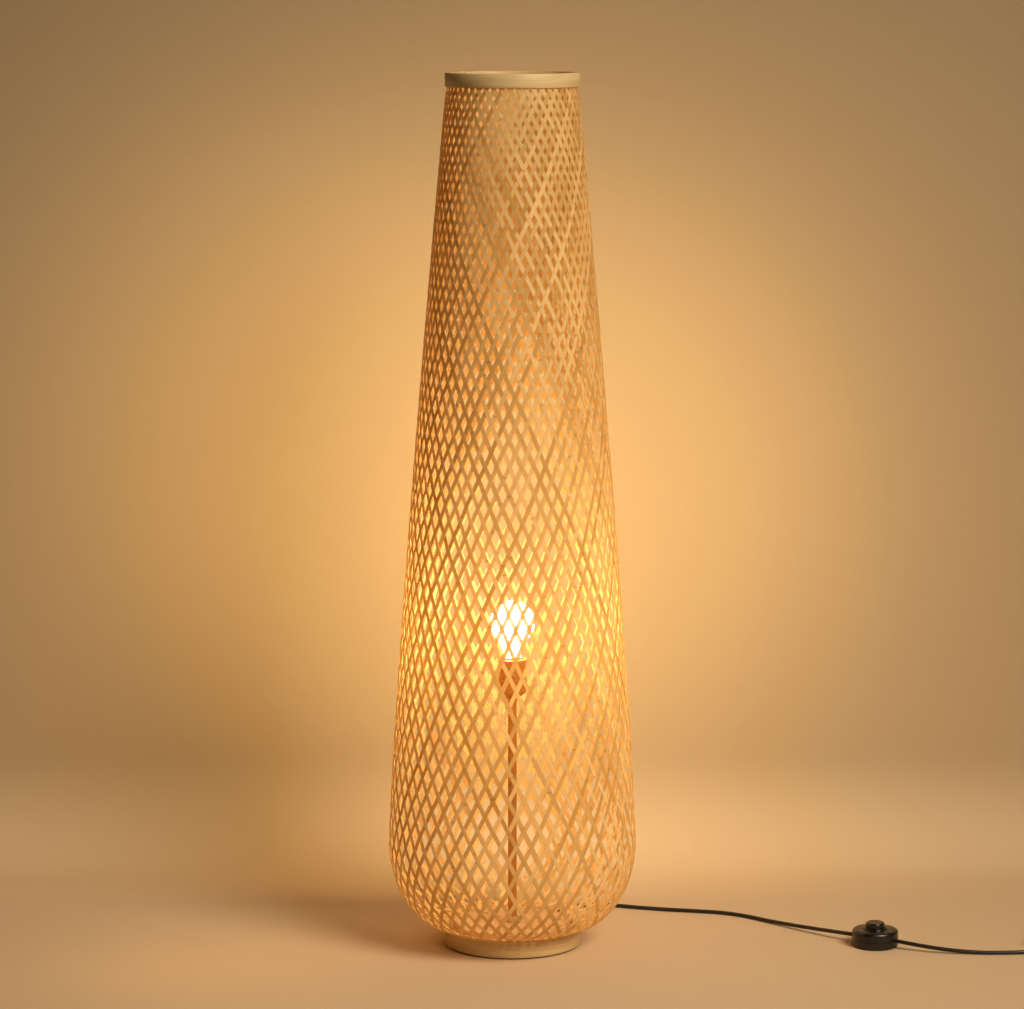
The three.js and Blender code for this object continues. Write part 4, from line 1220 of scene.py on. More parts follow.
@dataclass
class Coil:
    """The put-away flex: four layers that spiral in and out, straight at both ends."""

    centre: Spot = (0.756, -0.03073)
    middle_radius: float = 0.0285
    turns: float = 6.25
    layers: int = 4
    diameter: float = 0.0055
    gap: float = 0.0006
    low_height: float = 0.00385
    climb_turns: float = 0.5
    steps_per_turn: int = 40

    def line(self) -> list[Vector]:
        """Works out the coil's centre line.

        Returns:
            Its points, from the bottom to the top.
        """
        pitch = self.diameter + self.gap
        per_layer = self.turns / self.layers
        half = per_layer * pitch / 2
        steps = round(self.turns * self.steps_per_turn)
        points = []
        for i in range(steps + 1):
            turn = i / self.steps_per_turn
            layers = turn / per_layer
            layer = min(math.floor(layers), self.layers - 1)
            inwards = layers - layer if layer % 2 == 0 else 1 - (layers - layer)
            radius = self.middle_radius + half - 2 * half * inwards
            height = self.low_height
            for k in range(1, self.layers):
                share = min(max((turn - k * per_layer) / self.climb_turns + 0.5, 0.0), 1.0)
                height += pitch * share * share * (3 - 2 * share)
            angle = math.tau * turn - math.pi / 2
            x = self.centre[0] + radius * math.cos(angle)
            y = self.centre[1] + radius * math.sin(angle)
            points.append(Vector((x, y, height)))
        lead_in = points[0] - Vector((self.diameter, 0.0, 0.0))
        lead_out = points[-1] + Vector((0.0, self.diameter, 0.0))
        return [lead_in, *points, lead_out]


@dataclass
class Flex:
    """The lamp's flex: from the gland to the foot switch, and on through a coil to the plug."""

    palette: Palette
    diameter: float = 0.0055
    section_rows: int = 5

    TO_SWITCH = (
        (0.0416, 0.1143, 0.0075), (0.0450, 0.1236, 0.0073), (0.0501, 0.1376, 0.0057),
        (0.0565, 0.1525, 0.0038), (0.0655, 0.1680, 0.0030), (0.0790, 0.1825, 0.0029),
        (0.0980, 0.1930, 0.0029), (0.1230, 0.1965, 0.0029), (0.1516, 0.1911, 0.0029),
        (0.1786, 0.1818, 0.0029), (0.2247, 0.1686, 0.0029), (0.2630, 0.1604, 0.0029),
        (0.3004, 0.1502, 0.0029), (0.3311, 0.1326, 0.0030), (0.3574, 0.1081, 0.0034),
        (0.3921, 0.0739, 0.0052), (0.4272, 0.0387, 0.0082), (0.4641, 0.0056, 0.0108),
        (0.4750, -0.0015, 0.0110), (0.4898, -0.0111, 0.0110),
    )
    FROM_SWITCH = (
        (0.5138, -0.0267, 0.0110), (0.5286, -0.0363, 0.0110), (0.5395, -0.0430, 0.0106),
        (0.5682, -0.0555, 0.0082), (0.6043, -0.0636, 0.0050), (0.6411, -0.0673, 0.0031),
        (0.6781, -0.0673, 0.0029), (0.7050, -0.0652, 0.0032), (0.7290, -0.0640, 0.00385),
        (0.7502, -0.0640, 0.00385),
    )
    TO_PLUG = (
        (0.7893, -0.0249, 0.02215), (0.7893, -0.0170, 0.0220), (0.7893, -0.0040, 0.0182),
        (0.7893, 0.0090, 0.0118), (0.7893, 0.0210, 0.0074), (0.7893, 0.0317, 0.0069),
    )

    def cord(self, name: str, line: Sequence[Vector], nodes: Sequence[str]) -> Piece:
        """Runs a round cord along a line.

        Args:
            name: The piece's name.
            line: The cord's centre line.
            nodes: The CAD nodes that it replaces.

        Returns:
            The cord, a curve with a round section.
        """
        curve = bpy.data.curves.new(name, "CURVE")
        curve.dimensions = "3D"
        curve.bevel_depth = self.diameter / 2
        curve.bevel_resolution = self.section_rows
        curve.use_fill_caps = True
        spline = curve.splines.new("POLY")
        spline.points.add(len(line) - 1)
        for point, place in zip(spline.points, line):
            point.co = (*place, 1.0)
        spline.use_smooth = True
        piece = bpy.data.objects.new(name, curve)
        bpy.context.scene.collection.objects.link(piece)
        look = self.palette.flex
        return Workshop.hand_over(piece, Body.LAMP, "black_flex", look, nodes, None)

    def build(self, switch: Sequence[Piece], coil_and_plug: Sequence[Piece]) -> None:
        """Args:
            switch: The pieces at the end of the first stretch. Not used.
            coil_and_plug: The pieces on the second one. Not used.
        """
        to_switch = Route.through(self.TO_SWITCH)
        first = self.cord("flex_to_switch", to_switch, ["cord_to_switch"])
        Route.length(to_switch)
        to_plug = Route.through(self.FROM_SWITCH) + Coil().line() + Route.through(self.TO_PLUG)
        nodes = ["cord_from_switch", "cord_coil", "cord_to_plug"]
        second = self.cord("flex_to_plug", to_plug, nodes)
        Route.length(to_plug)
        LOG.info("flex: %.3f m and %.3f m", Route.length(to_switch), Route.length(to_plug))


@dataclass
class WovenBody:
    """The open lattice of flat bamboo strips, over one and under one, that leans both ways."""

    palette: Palette
    strips_each_way: int = 51
    bundles_each_way: int = 3
    strip_width: float = 0.0058
    strip_thickness: float = 0.00072
    strip_edge: float = 0.0002
    swing: float = 0.00038
    flatness: float = 1.35
    rows_per_crossing: int = 4
    sampling: float = 0.0005
    weave_thickness: float = 0.002
    widest_radius: float = 0.1714
    widest_height: float = 0.1425
    rim_bottom: float = 1.181
    swell_radius: float = 0.090
    swell_drop: float = 0.016
    taper_power: float = 1.19
    round_power: float = 1.9
    rim_radius: float = 0.0887
    tuck: Spot = (0.098, 0.0275)
    tuck_from: Spot = (0.103, 0.034)
    tuck_row: float = 0.0016
    tuck_gap: float = 0.001
    lip: Spot = (0.094, 0.0266)
    base_radius: float = 0.0919
    base_height: float = 0.0253
    spacing_play: float = 0.03
    width_play: Spot = (0.93, 1.05)
    wander: float = 0.0004
    wander_lengths: Spot = (0.07, 0.19)
    wander_waves: int = 3
    slopes: Profile = (
        (0.0, 61.0), (0.12, 62.5), (0.35, 66.0), (0.65, 66.5), (0.85, 65.0), (1.0, 62.5)
    )

    def outer_face(self) -> np.ndarray:
        """Traces the outer face from the rim down to the foot.

        Returns:
            Rows of radius and height.
        """
        low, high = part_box("woven_shade")
        widest, middle, rim = self.widest_radius, self.widest_height, self.rim_bottom
        points = [(self.rim_radius, z) for z in np.linspace(high.z, rim, 6)]
        for z in np.linspace(rim - self.swell_drop, middle, 300)[:-1]:
            share = (z - middle) / (rim - middle)
            points.append((widest - (widest - self.swell_radius) * share**self.taper_power, z))
        for angle in np.linspace(0.0, math.pi / 2, 160):
            across = max(math.cos(angle), 0.0) ** (2 / self.round_power)
            down = math.sin(angle) ** (2 / self.round_power)
            radius = self.tuck[0] + (widest - self.tuck[0]) * across
            points.append((radius, middle - (middle - self.tuck[1]) * down))
        points += [self.lip, (self.base_radius, self.base_height)]
        points += [(self.base_radius, z) for z in np.linspace(self.base_height, low.z, 6)[1:]]
        return np.array(points)

    def meridian(self) -> None:
        """Works out the middle of the weave, its length downwards and its outward direction."""
        face = self.outer_face()
        lengths = np.r_[0.0, np.cumsum(np.hypot(*np.diff(face, axis=0).T))]
        self.down = np.arange(0.0, lengths[-1], self.sampling)
        radius = np.interp(self.down, lengths, face[:, 0])
        height = np.interp(self.down, lengths, face[:, 1])
        self.along = np.c_[np.gradient(radius), np.gradient(height)]
        self.along /= np.linalg.norm(self.along, axis=1)[:, None]
        half = self.weave_thickness / 2
        self.radius = radius + half * self.along[:, 1]
        self.height = height - half * self.along[:, 0]

    def winding(self) -> None:
        """Works out how far a strip has gone round at each place down the body."""
        share = self.height / self.height.max()
        steps, degrees = zip(*self.slopes)
        self.slope = np.radians(np.interp(share, steps, degrees))
        rate = 1.0 / (np.tan(self.slope) * self.radius)
        step = self.down[1] - self.down[0]
        self.round = np.r_[0.0, np.cumsum((rate[1:] + rate[:-1]) / 2 * step)]
        self.crossing = self.round * self.strips_each_way / math.pi

    def rows(self) -> np.ndarray:
        """Chooses where along the body a strip has its rows of points.

        Returns:
            The places, as lengths down the body.
        """
        quarters = np.arange(0.0, self.crossing[-1], 1.0 / self.rows_per_crossing)
        places = np.interp(quarters, self.crossing, self.down)
        radius, height = self.tuck_from
        tuck = self.down[(self.height < height) & (self.radius < radius)]
        extra = np.arange(tuck[0] + self.tuck_gap, tuck[-1], self.tuck_row)
        return np.r_[places[places < tuck[0]], extra, self.down[-1]]

    def lay(self, piece: Piece, lean: Lean, number: int, rows: np.ndarray) -> None:
        """Lays a straight strip along its line on the body.

        Args:
            piece: The strip's copy.
            lean: Which way it runs round.
            number: Its number in its family.
            rows: Where its rows of points go.
        """
        chance = random.Random(number * 2 + (lean is Lean.LEFT))
        play = chance.uniform(-self.spacing_play, self.spacing_play)
        start = math.tau * (number + play) / self.strips_each_way
        swell = chance.uniform(*self.width_play)
        waves = [
            (chance.uniform(*self.wander_lengths), chance.uniform(0, math.tau))
            for _ in range(self.wander_waves)
        ]
        side = lean.value

        def rule(points: np.ndarray) -> np.ndarray:
            """Maps the straight lath to the strip's place on the body.

            Args:
                points: Length, width and thickness of each point.

            Returns:
                Their new X, Y and Z.
            """
            at = rows[np.rint(points[:, 0] * (len(rows) - 1)).astype(int)]
            traced = (self.radius, self.height, self.slope, self.crossing, self.round)
            radius, height, slope, crossing, turned, outer, upper = (
                np.interp(at, self.down, values) for values in (*traced, *self.along.T)
            )
            stray = sum(np.sin(math.tau * at / length + shift) for length, shift in waves)
            angle = start + side * turned + stray * self.wander / radius
            cosine, sine = np.cos(angle), np.sin(angle)
            level = np.c_[-sine, cosine, np.zeros_like(sine)] * side
            steep = np.c_[outer * cosine, outer * sine, upper]
            normal = np.c_[-upper * cosine, -upper * sine, outer]
            tangent = level * np.cos(slope)[:, None] + steep * np.sin(slope)[:, None]
            aside = np.cross(normal, tangent)
            wave = np.clip(self.flatness * np.cos(math.pi * crossing), -1.0, 1.0)
            offset = side * self.swing * wave + points[:, 2]
            middle = np.c_[radius * cosine, radius * sine, height]
            return middle + aside * (points[:, 1] * swell)[:, None] + normal * offset[:, None]

        Workshop.bend(piece, rule)
        tint(piece, chance.random())

    def template(self, rows: np.ndarray) -> Piece:
        """Makes the straight strip that all others are copied from, with its map.

        Args:
            rows: Where its rows of points go on the body.

        Returns:
            The strip.
        """
        count = len(rows)
        size = (self.strip_width, self.strip_thickness, self.strip_edge)
        piece = Workshop.lath("strip", *size, count)
        slope = np.interp(rows, self.down, self.slope)
        lengths = np.r_[0.0, np.cumsum(np.diff(rows) / np.sin((slope[1:] + slope[:-1]) / 2))]
        map_strip(piece, lambda share: np.interp(share, np.linspace(0.0, 1.0, count), lengths))
        Workshop.smooth(piece, 30.0)
        return piece

    def bundle(self, template: Piece, lean: Lean, numbers: range, name: str) -> None:
        """Lays some strips, joins them and hands them over.

        Args:
            template: The straight strip with its map.
            lean: Which way they run round.
            numbers: Their numbers in their family.
            name: The piece's name.
        """
        rows, strips = self.rows(), []
        for number in numbers:
            piece = template.copy()
            piece.data = template.data.copy()
            bpy.context.scene.collection.objects.link(piece)
            self.lay(piece, lean, number, rows)
            strips.append(piece)
        joined, look = Workshop.join(strips, name), self.palette.strip
        Workshop.hand_over(joined, Body.LAMP, "bamboo_weave", look, ["woven_shade"], None)

    def build(self) -> None:
        """Weaves both families and hands them over in bundles."""
        self.meridian()
        self.winding()
        template = self.template(self.rows())
        size = self.strips_each_way // self.bundles_each_way
        for lean in Lean:
            for bundle in range(self.bundles_each_way):
                numbers = range(bundle * size, (bundle + 1) * size)
                name = f"weave_{lean.name.lower()}_{bundle + 1}"
                self.bundle(template, lean, numbers, name)
        bpy.data.objects.remove(template)
        strips, crossings = 2 * self.strips_each_way, self.crossing[-1]
        LOG.info("woven body: %d strips, %.1f crossings each", strips, crossings)


def map_strip(piece: Piece, along: Rule) -> None:
    """Gives a straight strip its own map: metres along it, and metres from its middle.

    Args:
        piece: A straight strip from 0 to 1 along X.
        along: Turns places from 0 to 1 into metres.
    """
    mesh = piece.data
    for layer in list(mesh.uv_layers):
        mesh.uv_layers.remove(layer)
    layer = mesh.uv_layers.new(name=UV_NAME)
    corners = np.empty(len(mesh.loops), dtype=np.int32)
    mesh.loops.foreach_get("vertex_index", corners)
    points = Workshop.places(piece)[corners]
    values = np.c_[along(points[:, 0]), points[:, 1]].astype(np.float32)
    layer.uv.foreach_set("vector", values.ravel())


def tint(piece: Piece, tone: float) -> None:
    """Gives every point of a lath the same tone, from 0 to 1."""
    values = piece.data.attributes.new(TONE_NAME, "FLOAT", "POINT")
    values.data.foreach_set("value", [tone] * len(piece.data.vertices))


@dataclass
class Hoop:
    """A split-bamboo band bent round, its two thinned ends lapped at the back."""

    node: str
    name: str
    thickness: float
    lap_azimuth: float
    tone: float
    palette: Palette
    lap: float = 16.0
    edge: float = 0.0006
    thinnest: float = 0.14
    seam: float = 0.0001
    rows: int = 200

    def build(self) -> Piece:
        """Bends the band round and laps its ends.

        Returns:
            The hoop.
        """
        low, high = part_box(self.node)
        width = high.z - low.z
        middle = Vector((high.x - self.thickness / 2, (low.z + high.z) / 2))
        piece = Workshop.lath(self.name, width, self.thickness, self.edge, self.rows)
        turn = math.tau + math.radians(self.lap)
        map_strip(piece, lambda share: share * turn * middle.x)
        lap_share = math.radians(self.lap) / turn
        start = math.radians(self.lap_azimuth)
        full = self.thickness

        def rule(points: np.ndarray) -> np.ndarray:
            """Maps the straight lath to the hoop.

            Args:
                points: Length, width and thickness of each point.

            Returns:
                Their new X, Y and Z.
            """
            share = points[:, 0]
            layer = points[:, 2] / full + 0.5
            climb = (1 - 2 * self.thinnest) * share / lap_share
            rising = self.thinnest + np.minimum(climb, 1 - 2 * self.thinnest)
            closing = (share - 1 + lap_share) / lap_share
            lifted = self.thinnest + (1 - 2 * self.thinnest) * closing + self.seam / full
            floor = np.where(closing > 0, lifted, 0.0)
            ceiling = np.where(share < lap_share, rising, 1.0)
            angle = start + share * turn
            radius = middle.x + (floor + layer * (ceiling - floor) - 0.5) * full
            return np.c_[radius * np.cos(angle), radius * np.sin(angle), middle.y + points[:, 1]]

        Workshop.bend(piece, rule)
        tint(piece, self.tone)
        look = self.palette.band
        return Workshop.hand_over(piece, Body.LAMP, "bamboo_hoop", look, [self.node], 50.0)


@dataclass
class Frame:
    """The hoops that hold the ends of the weave."""

    palette: Palette

    def build(self) -> None:
        """Builds the four hoops."""
        hoops = (
            ("rim_outer_hoop", "rim_band", 0.002, 96.0, 0.611),
            ("rim_inner_hoop", "rim_lining", 0.0028, 150.0, 0.474),
            ("base_ring", "base_band", 0.0028, 118.0, 0.474),
            ("base_inner_hoop", "base_lining", 0.0028, 30.0, 0.337),
        )
        for node, name, thickness, azimuth, tone in hoops:
            Hoop(node, name, thickness, azimuth, tone, self.palette).build()
        LOG.info("frame: %d hoops", len(hoops))


@dataclass
class WeightedBase:
    """The felt ring, board, ballast and stem."""

    palette: Palette
    felt_width: float = 0.026
    felt_edge: float = 0.0006
    stem_wall: float = 0.0015
    stem_edge: float = 0.0004

    def ring(self, node: str, name: str, wall: float, edges: Spot, sides: int) -> Piece:
        """Turns a ring or tube over its solid, with eased outer edges.

        Args:
            node: The CAD node that gives its size.
            name: The piece's name.
            wall: How thick it is from outside to inside.
            edges: How far the lower and the upper outer edge are eased.
            sides: Steps round the axis.

        Returns:
            The ring.
        """
        low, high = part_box(node)
        inner, outer, (lower, upper) = high.x - wall, high.x, edges
        profile = [(inner, low.z), (outer - lower, low.z), (outer, low.z + lower)]
        profile += [(outer, high.z - upper), (outer - upper, high.z), (inner, high.z)]
        return Workshop.turn(name, [*profile, profile[0]], sides)

    def build(self) -> None:
        """Builds the ring and stem and dresses the rest."""
        palette, edges = self.palette, (self.felt_edge, self.felt_edge / 2)
        felt = self.ring("foot_ring", "felt_ring", self.felt_width, edges, 128)
        Workshop.hand_over(felt, Body.LAMP, "felt", palette.felt, ["foot_ring"])
        stem = self.ring("stem_tube", "stem", self.stem_wall, (self.stem_edge,) * 2, 40)
        Workshop.hand_over(stem, Body.LAMP, "bronze", palette.bronze, ["stem_tube"])
        dress(["base_board"], palette.plywood)
        dress(["ballast_plate"], palette.sand_steel)
        dress(["ballast_screw_1", "ballast_screw_2", "ballast_screw_3"], palette.bright_steel)
        dress(["stem_washer", "stem_nut"], palette.bright_steel)
        dress(["inner_lead"], palette.flex)
        LOG.info("weighted base and stem")


def dress(names: Sequence[str], look: Look) -> None:
    """Gives carried-over nodes a finish.

    Args:
        names: The CAD nodes.
        look: Their material.
    """
    for name in names:
        for slot in NODES[name].material_slots:
            slot.material = look


def arc(centre: Spot, radius: float, start: float, end: float, rows: int) -> list[Spot]:
    """Gives the points of a round corner.

    Args:
        centre: Radius and height of its middle.
        radius: Its radius.
        start: Its first angle, in degrees.
        end: Its last angle, in degrees.
        rows: Its steps.

    Returns:
        Radius and height of each point.
    """
    angles = [math.radians(start + (end - start) * i / rows) for i in range(rows + 1)]
    return [(centre[0] + radius * math.cos(a), centre[1] + radius * math.sin(a)) for a in angles]


def bowl(start: Spot, end: Spot, rows: int) -> list[Spot]:
    """Gives the points of a quarter oval, level where it starts and upright where it ends.

    Args:
        start: Radius and height where it starts, not among its points.
        end: Radius and height where it ends.
        rows: Its steps.

    Returns:
        Radius and height of each point.
    """
    angles = [math.radians(90.0 * i / rows) for i in range(1, rows + 1)]
    wide, tall = end[0] - start[0], end[1] - start[1]
    return [(start[0] + wide * math.sin(a), start[1] + tall * (1 - math.cos(a))) for a in angles]


def ribbed(start: Spot, end: Spot, ribs: int, depth: float, shares: Sequence[float]) -> list[Spot]:
    """Gives the points of a tapered stretch with a groove after each rib.

    Args:
        start: Radius and height where it starts.
        end: Radius and height where it ends.
        ribs: How many ribs it has.
        depth: How deep the grooves are.
        shares: Where, in each rib's share of the length, its crest and its groove start and end.

    Returns:
        Radius and height of each point.
    """
    points = []
    for i in range(ribs):
        for share, cut in zip(shares, (0.0, 0.0, depth, depth)):
            along = (i + share) / ribs
            radius = start[0] + (end[0] - start[0]) * along - cut
            points.append((radius, start[1] + (end[1] - start[1]) * along))
    return points


@dataclass
class Lampholder:
    """The two shells of the lampholder, with grip grooves, and what is inside them."""

    palette: Palette
    neck_radius: float = 0.009
    neck_height: float = 0.004
    stem_clearance: float = 0.0003
    cap_wall: float = 0.0035
    shoulder: float = 0.014
    sleeve_wall: float = 0.0022
    lip_radius: float = 0.0146
    lip: float = 0.002
    edge: float = 0.001
    groove_depth: float = 0.0005
    groove_pitch: float = 0.003

    def cap(self) -> None:
        """Turns the lower shell."""
        low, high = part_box("holder_cap")
        stem_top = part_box("stem_tube")[1]
        bore = stem_top.x + self.stem_clearance
        cavity = high.x - self.cap_wall
        shoulder = low.z + self.shoulder
        neck = (self.neck_radius, low.z + self.neck_height)
        profile = [(bore, low.z), (self.neck_radius, low.z), neck]
        profile += bowl(neck, (high.x, shoulder), 8)
        profile += [
            (high.x, high.z - self.edge / 2),
            (high.x - self.edge / 2, high.z),
            (cavity, high.z),
            (cavity, shoulder),
            (self.neck_radius, stem_top.z),
            (bore, stem_top.z),
            (bore, low.z),
        ]
        piece = Workshop.turn("lampholder_cap", profile, 64)
        Workshop.hand_over(piece, Body.LAMP, "bronze", self.palette.bronze, ["holder_cap"])

    def sleeve(self) -> None:
        """Turns the upper shell, with its grip grooves."""
        low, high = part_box("holder_sleeve")
        inner = high.x - self.sleeve_wall
        profile = [(inner, low.z), (high.x - self.edge / 2, low.z), (high.x, low.z + self.edge / 2)]
        height, quarter = low.z + self.groove_pitch, self.groove_pitch / 4
        while height < high.z - 2 * self.groove_pitch:
            profile += [
                (high.x, height),
                (high.x - self.groove_depth, height + quarter / 2),
                (high.x - self.groove_depth, height + quarter * 1.5),
                (high.x, height + quarter * 2),
            ]
            height += self.groove_pitch
        profile += arc((high.x - self.edge, high.z - self.edge), self.edge, 0, 90, 4)
        profile += [
            (self.lip_radius, high.z),
            (self.lip_radius, high.z - self.lip),
            (inner, high.z - self.lip),
            (inner, low.z),
        ]
        piece = Workshop.turn("lampholder_sleeve", profile, 64)
        Workshop.hand_over(piece, Body.LAMP, "bronze", self.palette.bronze, ["holder_sleeve"])

    def build(self) -> None:
        """Builds the shells and dresses the inside."""
        self.cap()
        self.sleeve()
        dress(["holder_insert"], self.palette.porcelain)
        dress(["holder_screw_shell", "holder_contact"], self.palette.brass)
        dress(["holder_terminal_1", "holder_terminal_2"], self.palette.brass)
        LOG.info("lampholder")


@dataclass
class Bulb:
    """The round opal bulb with its threaded cap."""

    palette: Palette
    globe_middle: float = 0.450
    globe_radius: float = 0.030
    neck_radius: float = 0.0123
    wall: float = 0.001
    neck_insertion: float = 0.009
    neck_rise: float = 0.002
    arc_start: float = -35.0
    pull_share: float = 0.45
    swell_rows: int = 8
    cap_wall: float = 0.0005
    cap_slant: float = 0.6
    cap_rows: int = 44
    insulator_radius: float = 0.0113
    insulator_foot: float = 0.0055
    insulator_share: float = 0.98
    solder_rows: int = 6
    solder_power: float = 0.6
    thread_pitch: float = 0.0036
    thread_depth: float = 0.0008
    thread_start: float = 0.0025
    thread_end: float = 0.0165
    thread_fade: float = 0.001

    def face(self, inset: float) -> list[Spot]:
        """Traces one face of the glass from the neck to the crown.

        Args:
            inset: How far the face lies inside the outer one.

        Returns:
            Radius and height of each point.
        """
        cap_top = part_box("bulb_cap")[1].z
        neck, high = self.neck_radius - inset, cap_top + self.neck_rise
        middle = (0.0, self.globe_middle)
        dome = arc(middle, self.globe_radius - inset, self.arc_start, 90.0, 26)
        r3, z3 = dome[0]
        pull = (z3 - high) * self.pull_share
        slope = math.radians(self.arc_start)
        r2, z2 = r3 + pull * math.sin(slope), z3 - pull * math.cos(slope)
        swell = []
        for i in range(self.swell_rows):
            t = i / self.swell_rows
            a, b, c, d = (1 - t) ** 3, 3 * t * (1 - t) ** 2, 3 * t * t * (1 - t), t**3
            height = a * high + b * (high + pull) + c * z2 + d * z3
            swell.append((a * neck + b * neck + c * r2 + d * r3, height))
        dome[-1] = (0.0, dome[-1][1])
        return [(neck, cap_top - self.neck_insertion), *swell, *dome]

    def glass(self) -> None:
        """Turns the glass, lit on its outer face only."""
        profile = self.face(0.0)[::-1] + self.face(self.wall)
        piece, look = Workshop.turn("bulb_globe", profile, 72), self.palette.opal
        piece.data.materials.append(look)
        piece.data.materials.append(self.palette.opal_inside)
        middle = Vector((0.0, 0.0, self.globe_middle))
        for face in piece.data.polygons:
            face.material_index = 0 if face.normal.dot(face.center - middle) > 0 else 1
        Workshop.hand_over(piece, Body.BULB, "opal_glass", look, ["bulb_glass"], 60.0)

    def cap(self) -> None:
        """Turns the metal cap and rolls its thread."""
        low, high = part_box("bulb_cap")
        radius, wall, root = high.x, self.cap_wall, self.insulator_radius
        foot = low.z + self.thread_start * self.cap_slant
        levels = [foot + (high.z - foot) * i / self.cap_rows for i in range(self.cap_rows + 1)]
        profile = [(root, low.z), (root + wall, low.z), *((radius, z) for z in levels)]
        profile += [(radius - wall, high.z), (radius - wall, low.z + self.thread_start)]
        profile += [(root, low.z + wall), (root, low.z)]
        piece = Workshop.turn("bulb_thread", profile, 64)

        def rule(points: np.ndarray) -> np.ndarray:
            """Presses a helical thread into the outer wall.

            Args:
                points: X, Y and Z of each point.

            Returns:
                Their new X, Y and Z.
            """
            around = np.arctan2(points[:, 1], points[:, 0])
            distance = np.hypot(points[:, 0], points[:, 1])
            level = points[:, 2] - low.z
            wave = 0.5 - 0.5 * np.cos(math.tau * level / self.thread_pitch - around)
            ends = np.clip((level - self.thread_start) / self.thread_fade, 0, 1)
            ends *= np.clip((self.thread_end - level) / self.thread_fade, 0, 1)
            outside = distance > radius - wall / 2
            pressed = np.where(outside, distance - self.thread_depth * wave * ends, distance)
            share = pressed / np.maximum(distance, WELD)
            return np.c_[points[:, 0] * share, points[:, 1] * share, points[:, 2]]

        Workshop.bend(piece, rule)
        look = self.palette.bright_steel
        Workshop.hand_over(piece, Body.BULB, "brass", look, ["bulb_cap"], 60.0)

    def foot(self) -> None:
        """Turns the black insulator and the soldered contact."""
        low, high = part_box("bulb_insulator")
        brim = low.z + (high.z - low.z) * self.insulator_share
        profile = [(0.0, low.z), (self.insulator_foot, low.z)]
        profile += bowl(profile[-1], (high.x, brim), 8)
        profile += [(high.x, high.z), (0.0, high.z)]
        piece, look = Workshop.turn("bulb_foot_glass", profile, 48), self.palette.plastic
        Workshop.hand_over(piece, Body.BULB, "black_plastic", look, ["bulb_insulator"])
        low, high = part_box("bulb_contact")
        profile = [(0.0, high.z)]
        for i in range(self.solder_rows):
            angle = math.radians(90.0 * i / self.solder_rows)
            height = high.z - (high.z - low.z) * math.sin(angle)
            profile.append((high.x * math.cos(angle) ** self.solder_power, height))
        profile.append((0.0, low.z))
        piece, look = Workshop.turn("bulb_solder", profile, 32), self.palette.bright_steel
        Workshop.hand_over(piece, Body.BULB, "bright_steel", look, ["bulb_contact"], 60.0)

    def build(self) -> None:
        """Builds the bulb and dresses its inside."""
        self.glass()
        self.cap()
        self.foot()
        dress(["bulb_mount"], self.palette.clear_glass)
        dress(["bulb_filament"], self.palette.bright_steel)
        LOG.info("bulb")


